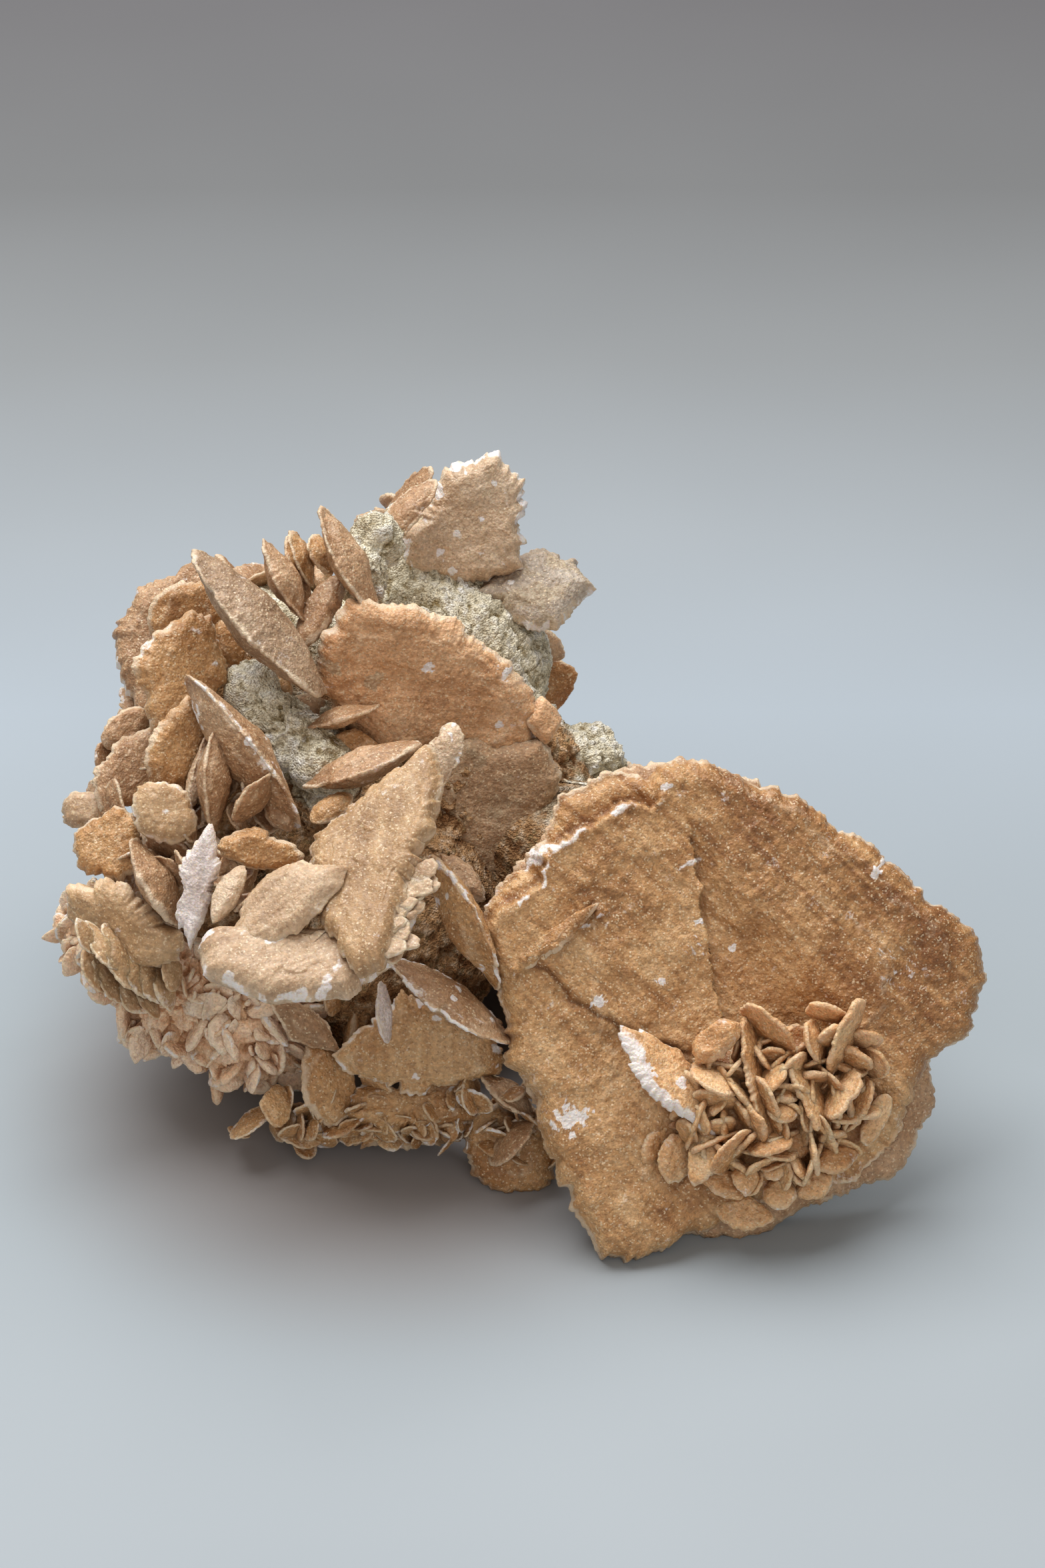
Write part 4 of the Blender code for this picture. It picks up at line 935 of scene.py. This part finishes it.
def great_front(side, x, y, rho, th, h, wh, tn, ds):
    if side < 0:
        return h, wh, tn, ds
    jx = x + 0.9 * noise2(x / 2.6, y / 2.6, 501) + 0.35 * noise2(x / 0.8, y / 0.8, 503)
    jy = y + 0.9 * noise2(x / 2.6, y / 2.6, 502) + 0.35 * noise2(x / 0.8, y / 0.8, 504)
    for line, drop, fade in ((LOW_STEP, 2.3, 1.0 - smooth(-13, -11, x)), (HIGH_STEP, 3.6, 1.0 - smooth(9, 20, x))):
        d, s = poly_side(jx, jy, line)
        sd = s * d
        h = h - drop * smooth(0.0, 0.55, sd) * fade
        h = h + 0.45 * np.exp(-((sd + 0.7) / 0.8) ** 2) * fade
        lip = np.exp(-((sd + 0.5) / 0.75) ** 2) * fade
        wh = np.maximum(wh, lip * smooth(-0.5, 0.3, noise2(x / 3.0, y / 3.0, 509)) * 0.9)
        # painted shade: the tone is darkened in a band along the foot of each step, and made lighter on the lip
        tn = tn + 0.25 * lip - 0.30 * np.exp(-((sd - 0.9) / 0.9) ** 2) * fade
    d, s = poly_side(x + 0.4 * noise2(x / 1.6, y / 1.6, 511), y, CRACK)
    fade = smooth(-13, 2, y) * smooth(36, 30, y) * smooth(1.5, 4.0, np.hypot(x + 28, y - 33) + 2.5)
    low = smooth(0.0, 0.6, -s * d) * fade
    h = h - 0.9 * low * (1 - 0.6 * smooth(8, 26, d))
    cut = np.exp(-(d / 0.40) ** 2) * fade
    h = h - 1.1 * cut
    # painted shade: the tone is darkened strongly down the groove of the crack
    tn = tn + 0.06 * low - 0.8 * cut
    d, s = poly_side(jx, jy, FOLD)
    h = h + 0.40 * smooth(-1.0, 1.0, s * d) * smooth(9, 0, d)
    tn = tn + 0.10 * np.exp(-((s * d - 0.4) / 0.7) ** 2)
    d, s = poly_side(jx, jy, CREST)
    crest = np.exp(-(d / 1.0) ** 2)
    h = h + 1.5 * crest * (0.7 + 0.5 * noise2(x / 1.3, y / 1.3, 507))
    wh = np.maximum(wh, 0.75 * np.exp(-((s * d + 0.3) / 0.5) ** 2) * smooth(-0.4, 0.2, noise2(x / 1.7, y / 1.7, 508)))
    d, s = poly_side(jx, jy, [(9.4, 28.9), (13.9, 27.9)])
    wh = np.maximum(wh, 0.7 * np.exp(-(d / 0.7) ** 2))
    wh = np.maximum(wh, spots(x, y, [(-7.8, 12.7, 1.6), (-21.4, 16.7, 1.8), (-40.3, 0.5, 4.0), (42.1, 3.9, 1.6),
                                     (45.5, 4.9, 1.4), (17.4, 44.5, 1.2), (5.5, 17.7, 1.2), (8.8, 9.1, 1.2)], 520) * 0.9)
    dash = smooth(0.45, 0.7, noise2((x + 0.35 * y) / 0.5, (y - 0.35 * x) / 1.8, 530))
    wh = np.maximum(wh, dash * 0.7 * np.exp(-(((x - 4) / 6) ** 2 + ((y - 14) / 4) ** 2)))
    wh = np.maximum(wh, dash * 0.65 * np.exp(-(((x - 34) / 8) ** 2 + ((y + 14) / 12) ** 2)))
    # warmer and clearer towards the top, darker towards the right edge
    tn = tn - 0.10 * smooth(18, 42, y) * smooth(-24, -6, x) - 0.20 * smooth(14, 44, x) + 0.03
    for cx, cy, r in ((39.9, -1.4, 5), (27.5, -13.3, 6), (25.1, -4.6, 4), (43.4, -11, 5)):
        tn = tn - 0.22 * np.exp(-((x - cx) ** 2 + (y - cy) ** 2) / r ** 2)
    return h, wh, tn, ds


def upper_front(side, x, y, rho, th, h, wh, tn, ds):
    if side < 0:
        return h, wh, tn, ds
    wh = np.maximum(wh, spots(x, y, [(-2, 5.2, 1.6), (14.6, 11.5, 1.8), (18.8, 0.7, 1.6)], 540) * 0.9)
    ds = np.maximum(ds, spots(x, y, [(-11, -2.6, 2.6), (-20.2, -3.7, 2.6)], 544) * 1.2)
    tn = tn - 0.16 * smooth(-4, -22, x)
    return h, wh, tn, ds


def wing_crust(side, x, y, rho, th, h, wh, tn, ds):
    """White powder along the free edge of the rosette's broad wing."""
    if side < 0:
        return h, wh, tn, ds
    w = smooth(0.35, 0.80, rho + 0.35 * fbm2(x / 3.0, y / 3.0, 611, 2)) * smooth(0.25, -0.35, np.cos(th - math.radians(WING_TURN)))
    return h, np.maximum(wh, w * 0.95), tn, ds


WING_TURN = 90.0
VIS_HALF = {"leaf_broad": (13, 10.5, 6.5, 6), "leaf_outer_low": (11.5, 10, 6, 6.5), "spike_1": (21.5, 21.5, 13, 13)}
VIS_MAT = {"tall_plate": "honey", "skirt_plate": "amber", "crown_plate": "pale", "crown_ledge": "ledge", "spike_1": "umber", "shell_plate": "honey", "boat_lens": "peach", "lower_left_plate": "honey", "inner_blade_left": "tan", "left_tip": "peach",
           "skirt_foot": "amber", "skirt_under": "amber", "under_shell": "amber", "front_lens": "peach", "inner_leaf": "amber"}
FEATURES = {"great_blade": great_front, "upper_plate": upper_front}


def put(piece, nodes):
    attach(piece, "root")
    if nodes:
        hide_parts(*nodes)


for number, (name, centre, face, roll, half, square, thick, form, colour) in enumerate(CRYSTALS):
    b = Builder()
    looks = dict(LOOKS.get(name, {}))
    half = VIS_HALF.get(name, half)
    if name in EDGE_ON:
        thick, tilt = EDGE_ON[name]
        looks.update(axes=edge_on(face, roll, tilt), roof=0.6, rim_z=0.35)
        half = (half[0], half[1], half[2] * 0.75, half[3] * 0.75)
    blade(b, centre, face, roll, half, square, thick, form, 1000 + 97 * number, corners=GREAT if name == "great_blade" else CORNERS.get(name),
          feature=FEATURES.get(name), cell=looks.pop("cell", 0.5), **looks)
    put(b.finish("look_" + name, MATS[VIS_MAT.get(name, colour)]), [name])

for number, (name, centre, face, roll, half, square, thick, form, colour) in enumerate(SMALL):
    b = Builder()
    looks = {}
    if name in EDGE_ON:
        thick, tilt = EDGE_ON[name]
        looks = dict(axes=edge_on(face, roll, tilt), roof=0.6, rim_z=0.3)
    blade(b, centre, face, roll, half, square, thick, form, 7000 + 97 * number, cell=0.45, **looks)
    put(b.finish("look_" + name, MATS[colour]), [])

b = Builder(tiles=11)
c, fa, ro, ha, sq, tk = ROSETTE_BASE
blade(b, c, fa, ro, ha, sq, tk, "lens", 9000, cell=0.6, rag=1.2, steps=0.6, terraces=4, dust=0.4, tone=-0.25)
for i, (c, fa, ro, ha, sq, tk, form) in enumerate(ROSETTE):
    if form == "lens":
        W = min(3.4, 2 * ha[2] * abs(float(axes_of(fa, ro)[2] @ TO_EYE)) * 0.4 + tk * 0.8)
        blade(b, c, fa, ro, (ha[0] * 1.08, ha[1] * 1.08, ha[2] * 0.8, ha[3] * 0.8), 2.4, W, "lens", 9100 + 37 * i,
              cell=0.40, rag=0.8, teeth=0.5, rim_z=0.34 + 0.08 * W, white=0.22, warp=0.8, tone=0.04, roof=0.45,
              axes=edge_on(fa, ro, 24), contact=0.0)
    else:
        blade(b, c, fa, ro, ha, sq, tk, form, 9100 + 37 * i, cell=0.42, rag=0.8, teeth=0.2, rim_z=0.35, white=1.1 if i == 0 else 0.3, warp=0.6,
              tone=0.05, contact=0.0, feature=wing_crust if i == 0 else None)
RX, RY, RN = axes_of((7, 38), 3)
rnd = random.Random(4242)
spread = []
while len(spread) < 62:
    u, v = rnd.uniform(-1, 1), rnd.uniform(-1, 1)
    if u * u + v * v > 1 or any((u - a) ** 2 + (v - e) ** 2 < 0.022 for a, e in spread):
        continue
    spread.append((u, v))
for i, (u, v) in enumerate(spread):
    rr = math.hypot(u, v)
    c = np.array((53.0, -57.5, 30.5)) + RX * u * 19.5 + RY * v * 15.5 + RN * (3.6 * (1 - rr * rr) + 1.6)
    turn = rnd.uniform(0, math.pi)
    wall = rnd.random() < 0.85
    lean = math.radians(rnd.uniform(4, 20) if wall else rnd.uniform(14, 36)) * rnd.choice((-1, 1))
    nb = (RX * math.cos(turn) + RY * math.sin(turn)) * math.cos(lean) + RN * math.sin(lean)
    az = math.degrees(math.atan2(nb[0], -nb[1]))
    el_ = math.degrees(math.asin(nb[2]))
    k = rnd.uniform(3.0, 5.6) * (1.15 - 0.3 * rr)
    if wall:
        k *= 1.12
        c = c + RN * 0.9
        blade(b, c, (az, el_), rnd.uniform(-25, 25) + (90 if rnd.random() < 0.5 else 0), (k * 1.15, k * 1.15, k * 0.75, k * 0.75),
              rnd.uniform(2.6, 4.0), rnd.uniform(1.2, 1.7), "plate", 12000 + 31 * i, cell=0.42, rag=0.6, teeth=0.25,
              rim_z=rnd.uniform(0.42, 0.60), white=0.20, warp=0.9, tone=rnd.uniform(-0.05, 0.18), dust=0.05, contact=0.0)
        continue
    blade(b, c, (az, el_), rnd.uniform(-70, 70), (k * rnd.uniform(0.9, 1.2), k * rnd.uniform(0.9, 1.2), k * rnd.uniform(0.45, 0.8),
                                                        k * rnd.uniform(0.45, 0.8)), rnd.uniform(1.8, 2.8), rnd.uniform(0.9, 1.7),
          "lens", 12000 + 31 * i, cell=0.42, rag=0.6, teeth=0.3, rim_z=rnd.uniform(0.22, 0.40), white=0.2, warp=1.3,
          tone=rnd.uniform(-0.1, 0.2), dust=0.05, contact=0.0)
put(b.finish("look_small_rosette", MATS["rosette"]), ["small_rosette"])


def lump_spot(rnd, lumps, az, el, keep):
    """A random place on the outside of a sandy mass, and the way it looks there."""
    while True:
        c, r = lumps[rnd.randrange(len(lumps))]
        a, e = math.radians(rnd.uniform(*az)), math.radians(rnd.uniform(*el))
        n = np.array((math.sin(a) * math.cos(e), -math.cos(a) * math.cos(e), math.sin(e)))
        p = np.array(c, float) + n * (np.array(r, float) - 1.5)
        if any(c2 is not c and (((p - np.array(c2)) / (np.array(r2) - 1.5)) ** 2).sum() < 1 for c2, r2 in lumps):
            continue
        if keep(p):
            return p, n, math.degrees(a), math.degrees(e)


def litter(name, count, seed, lumps, az, el, keep, size, colour, slot, tiles, **looks):
    rnd = random.Random(seed)
    b = Builder(tiles=tiles)
    for i in range(count):
        p, n, a, e = lump_spot(rnd, lumps, az, el, keep)
        k = rnd.uniform(*size)
        face = (a + rnd.uniform(25, 95) * rnd.choice((-1, 1)), e + rnd.uniform(-35, 35))
        w = k * rnd.uniform(0.5, 0.8)
        form = rnd.choice(("lens", "lens", "plate"))
        blade(b, p + n * rnd.uniform(-0.25, 0.15) * k, face, rnd.uniform(-90, 90), (k, k * rnd.uniform(0.8, 1), w, w * 0.9),
              rnd.uniform(1.3, 2.0), max(1.2, k * rnd.uniform(0.26, 0.42)), form, seed * 50 + 13 * i,
              cell=0.55 if k < 9 else 0.7, white=rnd.uniform(0.1, 0.4), tone=rnd.uniform(-0.15, 0.15), warp=0.7,
              contact=0.2, **looks)
    put(b.finish(name, MATS[colour]), [])


def left_gap(p):
    if p[0] > -36 or p[2] < 50 or p[1] > 34:
        return False
    for q, r in (((-47, 12, 80), 13.0), ((-37, 0, 74), 10.0), ((-50, 24, 92), 8.0)):
        if np.linalg.norm(p - np.array(q)) < r:
            return False
    return True


def cluster(name, count, seed, centre, spread, size, colour, slot, tiles, tilt=(10, 55), fat=(0.20, 0.34), **looks):
    """Small crossed blades grown round one place."""
    rnd = random.Random(seed)
    b = Builder(tiles=tiles)
    for i in range(count):
        c = np.array(centre, float) + np.array([rnd.gauss(0, 0.5) * q for q in spread])
        c[2] = max(c[2], 5.0)
        k = rnd.uniform(*size)
        ax = edge_on((rnd.uniform(-180, 180), rnd.uniform(-50, 50)), rnd.uniform(-90, 90), rnd.uniform(*tilt))
        blade(b, c, (0, 0), 0, (k, k * 0.9, k * 0.7, k * 0.65), rnd.uniform(1.5, 2.4), k * rnd.uniform(*fat), "lens",
              seed * 60 + 19 * i, axes=ax, roof=0.4, rim_z=0.28, cell=0.45, white=rnd.uniform(0.2, 0.6),
              tone=rnd.uniform(-0.1, 0.15), warp=0.7, contact=0.0, **looks)
    put(b.finish(name, MATS[colour]), [])


cluster("look_under_blades", 34, 66, (-2, -46, 13), (12, 5, 11), (2.6, 5.4), "amber", "amber", 6)
b = Builder(tiles=4)
rnd = random.Random(676)
lens = next(r for r in CRYSTALS if r[0] == "left_lens")
for i, (dx, dz, k) in enumerate(((-7, 3, 6.5), (-4, 0, 8), (-1.5, -3.5, 8), (2, -6, 7), (5, -9, 6), (-9, -3, 5.5), (-6, -6, 6.5),
                                 (-2.5, -9, 6), (1.5, -12, 5), (-10, 6, 4.5), (7, -5, 5))):
    ax = edge_on((lens[2][0] + rnd.gauss(0, 9), lens[2][1] + rnd.gauss(0, 7)), lens[3] + rnd.gauss(0, 12), rnd.uniform(18, 40))
    blade(b, (-80 + dx, -36.0 + 0.15 * dx, 54 + dz), (0, 0), 0, (k, k * 0.9, k * 0.6, k * 0.6), 1.7, k * 0.42, "lens", 67000 + 19 * i,
          axes=ax, roof=0.35, rim_z=0.30, cell=0.45, rag=0.8, white=0.3, tone=rnd.uniform(-0.05, 0.15), warp=0.7, contact=0.0)
put(b.finish("look_shell_fins", MATS["honey"]), [])
cluster("look_skirt_petals", 34, 68, (-34, -42, 16), (24, 4, 7), (3.5, 7.0), "amber", "pale", 5, tilt=(30, 70))
b = Builder(tiles=4)
rnd = random.Random(515)
tall = next(r for r in CRYSTALS if r[0] == "tall_plate")
for i in range(13):
    t = (i + rnd.uniform(0.1, 0.9)) / 13
    c = np.array((-20.6 - 5.5 * t, -43.5 - 15.0 * t, 80.2 - 7.6 * t)) + np.array([rnd.gauss(0, 0.6) for _ in range(3)]) - TO_EYE * 1.8
    k = rnd.uniform(2.4, 4.6)
    blade(b, c, (tall[2][0] + rnd.gauss(0, 13), tall[2][1] + rnd.gauss(0, 10)), rnd.uniform(-90, 90), (k, k * 0.8, k * 0.7, k * 0.5),
          rnd.uniform(2.4, 3.6), rnd.uniform(1.0, 1.8), "plate", 77000 + 11 * i, cell=0.4, rag=1.1, teeth=0.8,
          rim_z=rnd.uniform(0.25, 0.5), white=0.25, tone=rnd.uniform(-0.1, 0.2), contact=0.0)
put(b.finish("look_edge_blocks", MATS["peach"]), [])

cluster("look_skirt_crumbs", 60, 70, (-25, -44.5, 15), (15, 2.5, 4.5), (2.2, 4.6), "amber", "pale", 8, tilt=(15, 75))

LEFT = [r for r in CRYSTALS if r[0] in (
    "front_lens", "long_diagonal", "inner_blade_right", "pale_blade", "cross_lens", "leaf_spine", "leaf_narrow",
    "leaf_broad", "shell_plate", "left_lens", "left_plate", "lower_left_plate", "fan_front", "fan_middle", "fan_outer",
    "leaf_outer_low", "leaf_outer_high", "left_tip", "boat_lens", "disc_blade", "spike_2")]
rnd = random.Random(616)
b = Builder(tiles=9)
made = 0
while made < 78:
    p, q = rnd.sample(LEFT, 2)
    p, q = np.array(p[1], float), np.array(q[1], float)
    if np.linalg.norm(p - q) > 24:
        continue
    t = rnd.uniform(0.25, 0.75)
    c = p * t + q * (1 - t) - TO_EYE * rnd.uniform(5.0, 10.0) + np.array([rnd.uniform(-3, 3) for _ in range(3)])
    if any(np.linalg.norm(c - np.array(w)) < r for w, r in (((-53, 12, 82), 8.0), ((-45, 5, 77), 7.0), ((-60, 22, 91), 7.0))):
        continue
    k = rnd.uniform(4.5, 8.0)
    tilt = rnd.uniform(14, 50)
    ax = edge_on((rnd.uniform(-180, 180), rnd.uniform(-50, 50)), rnd.uniform(-90, 90), tilt)
    blade(b, c, (0, 0), 0, (k, k * 0.9, k * 0.7, k * 0.7), rnd.uniform(1.3, 2.0), k * rnd.uniform(0.30, 0.48), "lens",
          64000 + 17 * made, axes=ax, roof=0.5, rim_z=0.3, cell=0.5, white=rnd.uniform(0.1, 0.5),
          tone=rnd.uniform(-0.2, 0.1), warp=0.7, contact=0.2)
    made += 1
put(b.finish("look_left_fillers", MATS["tan"]), [])
litter("look_low_fillers", 40, 62, MASSES["sand_matrix"], (-80, 60), (-65, 10),
       lambda p: p[0] < 6 and p[2] > 6 and p[2] < 44 and p[1] < 14, (4.0, 9.0), "amber", "amber", 7, dust=0.1)
litter("look_rear_blades_high", 46, 63, MASSES["sand_matrix"], (100, 260), (-10, 70),
       lambda p: p[1] > 44 and p[2] > 52 and p[0] < 8, (6.0, 13.0), "tan", "tan", 7, dust=0.3)
litter("look_rear_blades_low", 46, 64, MASSES["sand_matrix"], (90, 270), (-60, 10),
       lambda p: p[1] > 12 and 8 < p[2] < 60, (6.0, 13.0), "amber", "amber", 7, dust=0.3)
litter("look_left_rear_blades", 30, 65, MASSES["sand_matrix"], (180, 290), (-40, 50),
       lambda p: p[0] < -50 and p[1] > -6 and p[2] > 10, (5.0, 11.0), "pale", "pale", 6, dust=0.3)



def sandy_places(p):
    """Where the matrix is bare pale sand; elsewhere it is coloured brown, partly the gypsum stain in it and partly
    painted shade for the deep spaces between the blades.
    """
    out = smooth(26, 40, p[:, 1]) * smooth(52, 66, p[:, 2]) * 0.9
    for c, r in (((-53, 12, 82), 16), ((-42, 3, 76), 12), ((26, 10, 56), 22)):
        out = np.maximum(out, 1.0 - smooth(0.7 * r, r, np.linalg.norm(p - np.array(c), axis=1)))
    return np.maximum(out, 0.30 + 0.4 * smooth(0.0, 0.5, noise3(p / 14.0, 91)) * smooth(20, 40, p[:, 1]))


# bare sand that fills the gaps beside the long diagonal blade and under the spikes
b = Builder(tiles=2)
lump_surface(b, [((-58, 18, 85), (6.5, 6.5, 6.5)), ((-53, 13.5, 80), (8, 7, 7)), ((-47.5, 8.5, 78), (8, 7, 7)),
                 ((-42.5, 3.5, 75), (7, 7, 7))], (-50, 10.5, 79), 40, 701, amp=0.8, cracks=0.5, shrink=0.3)
lump_surface(b, [((-34, 40, 99.5), (6, 5, 8)), ((-31, 46, 106), (6.5, 5, 7))], (-32.5, 43, 103), 30, 702, amp=0.8,
             cracks=0.4, shrink=0.3)
put(b.finish("look_sand_fill", MATS["sand"]), [])
b = Builder()
lump_surface(b, MASSES["sand_matrix"], (-25, 28, 58), 165, 77, amp=1.0, cracks=0.6, recess=True, sandy=sandy_places)
put(b.finish("look_sand_matrix", MATS["sand"]), ["sand_matrix"])
b = Builder()
lump_surface(b, MASSES["sandy_knob"], (13, 35, 53.7), 44, 78, amp=0.8, cracks=0.3)
put(b.finish("look_sandy_knob", MATS["sand"]), ["sandy_knob"])
b = Builder(tiles=17)
lump_surface(b, MASSES["crumbly_lobe"], (-73, -20, 34), 110, 79, amp=1.0, cracks=0.5, sandy=lambda p: 0.0 * p[:, 0])
rnd = random.Random(808)
lumps = MASSES["crumbly_lobe"]
done = 0
while done < 270:
    c, r = lumps[rnd.randrange(3)]
    az, el = rnd.uniform(-150, 100), rnd.uniform(-70, 75)
    a, e = math.radians(az), math.radians(el)
    n = np.array((math.sin(a) * math.cos(e), -math.cos(a) * math.cos(e), math.sin(e)))
    p = np.array(c, float) + n * (np.array(r, float) - 0.9)
    inside = False
    for c2, r2 in lumps:
        if c2 is not c and (((p - np.array(c2)) / (np.array(r2) - 2.5)) ** 2).sum() < 1:
            inside = True
    if inside or p[2] < 4.5:
        continue
    big = rnd.random() < 0.25
    s = rnd.uniform(4.0, 6.5) if big else rnd.uniform(2.2, 4.2)
    blade(b, p, (az + rnd.uniform(30, 110) * rnd.choice((-1, 1)), rnd.uniform(-30, 70)), rnd.uniform(-90, 90),
          (s, s * 0.9, s * rnd.uniform(0.45, 0.75), s * rnd.uniform(0.45, 0.75)), rnd.uniform(1.3, 2.0),
          s * 0.36, "plate", 30000 + 7 * done, cell=0.55, rim_z=0.22, white=rnd.uniform(0.2, 0.7), dust=0.0, contact=0.0,
          tone=rnd.uniform(0.1, 0.45), terraces=1, warp=0.8)
    done += 1
put(b.finish("look_crumbly_lobe", MATS["crumbly_blades"]), ["crumbly_lobe"])

# =============================================================================================
# stage: a pale surface that sweeps up behind, soft light from above
# =============================================================================================


def stage_material():
    m = Nodes("stage_paper")
    pos = m.new("ShaderNodeSeparateXYZ")
    m.link(m.coord, pos.inputs[0])
    y, z = pos.outputs["Y"], pos.outputs["Z"]
    # painted shade: the paper's colour darkens towards the back, in place of the light falling off across it
    ramp = m.new("ShaderNodeValToRGB")
    m.link(m.remap(y, -0.2, 0.6), ramp.inputs["Fac"])
    falloff_shade_stops = ((0.06, (169, 176, 180)), (0.24, (157, 165, 169)), (0.41, (160, 169, 176)), (0.52, (151, 157, 161)),
             (0.65, (133, 136, 137)), (0.80, (113, 114, 114)), (1.0, (107, 106, 107)))
    for i, (at, c) in enumerate(falloff_shade_stops):
        e = ramp.color_ramp.elements[i] if i < 2 else ramp.color_ramp.elements.new(at)
        e.position = at
        e.color = srgb(*c)
    col = ramp.outputs["Color"]
    # painted shadow: the paper is coloured darker and warmer right under the stone
    dx = m.maths("ADD", pos.outputs["X"], 0.030)
    dy = m.maths("ADD", y, 0.020)
    far = m.maths("SQRT", m.maths("ADD", m.maths("MULTIPLY", dx, dx), m.maths("MULTIPLY", dy, dy)))
    near = m.remap(far, 0.095, 0.035, smoothly=True)
    col = m.mix(m.maths("MULTIPLY", near, 0.62), col, srgb(148, 134, 127))
    n = m.noise(160.0, 2.0, 0.5)
    col = m.scale_colour(col, m.remap(n, 0.3, 0.7, 0.97, 1.03))
    m.link(col, m.bsdf.inputs["Base Color"])
    m.bsdf.inputs["Roughness"].default_value = 0.85
    m.bsdf.inputs["Specular IOR Level"].default_value = 0.2
    return m.mat


def sweep():
    pts = [(-1.2, 0.0), (0.9, 0.0)]
    for i in range(1, 13):
        a = math.radians(90 * i / 12)
        pts.append((0.9 + 0.5 * math.sin(a), 0.5 - 0.5 * math.cos(a)))
    pts.append((1.4, 2.2))
    verts, faces = [], []
    for y, z in pts:
        for x in (-2.2, 2.2):
            verts.append((x, y, z - 0.0001))
    for i in range(len(pts) - 1):
        faces.append((2 * i, 2 * i + 1, 2 * i + 3, 2 * i + 2))
    me = bpy.data.meshes.new("paper")
    me.from_pydata(verts, [], faces)
    me.materials.append(stage_material())
    o = bpy.data.objects.new("paper", me)
    bpy.context.scene.collection.objects.link(o)


sweep()


def area(name, loc, aim, size, power, colour=(1, 1, 1)):
    L = bpy.data.lights.new(name, "AREA")
    L.shape = "RECTANGLE"
    L.size, L.size_y = size
    L.energy = power
    L.color = colour
    o = bpy.data.objects.new(name, L)
    o.location = loc
    o.rotation_euler = (Vector(aim) - Vector(loc)).to_track_quat("-Z", "Y").to_euler()
    bpy.context.scene.collection.objects.link(o)
    return o


area("window_above", (-0.19, 0.38, 1.05), (0, 0, 0.05), (1.2, 1.0), 21.0, (0.96, 0.975, 1.0))
area("fill_front", (0.2, -1.2, 0.7), (0, 0, 0.05), (1.2, 0.8), 3.6, (0.97, 0.98, 1.0))

world = bpy.data.worlds.new("soft_sky")
bpy.context.scene.world = world
world.use_nodes = True
bg = world.node_tree.nodes["Background"]
bg.inputs["Color"].default_value = (1.0, 0.91, 0.84, 1.0)
bg.inputs["Strength"].default_value = 0.30

cam = bpy.data.cameras.new("camera")
cam.lens = 80.0
cam.sensor_width = 36.0
cam.clip_start = 0.02
cam_obj = bpy.data.objects.new("camera", cam)
look = (VIEW_CENTRE + TO_FOOTPRINT) * MM
el = math.radians(35.0)
cam_obj.location = Vector(look) + 0.780 * Vector((0.0, -math.cos(el), math.sin(el)))
cam_obj.rotation_euler = (math.radians(55.0), 0.0, 0.0)
bpy.context.scene.collection.objects.link(cam_obj)
bpy.context.scene.camera = cam_obj
bpy.context.scene.view_settings.view_transform = "Standard"
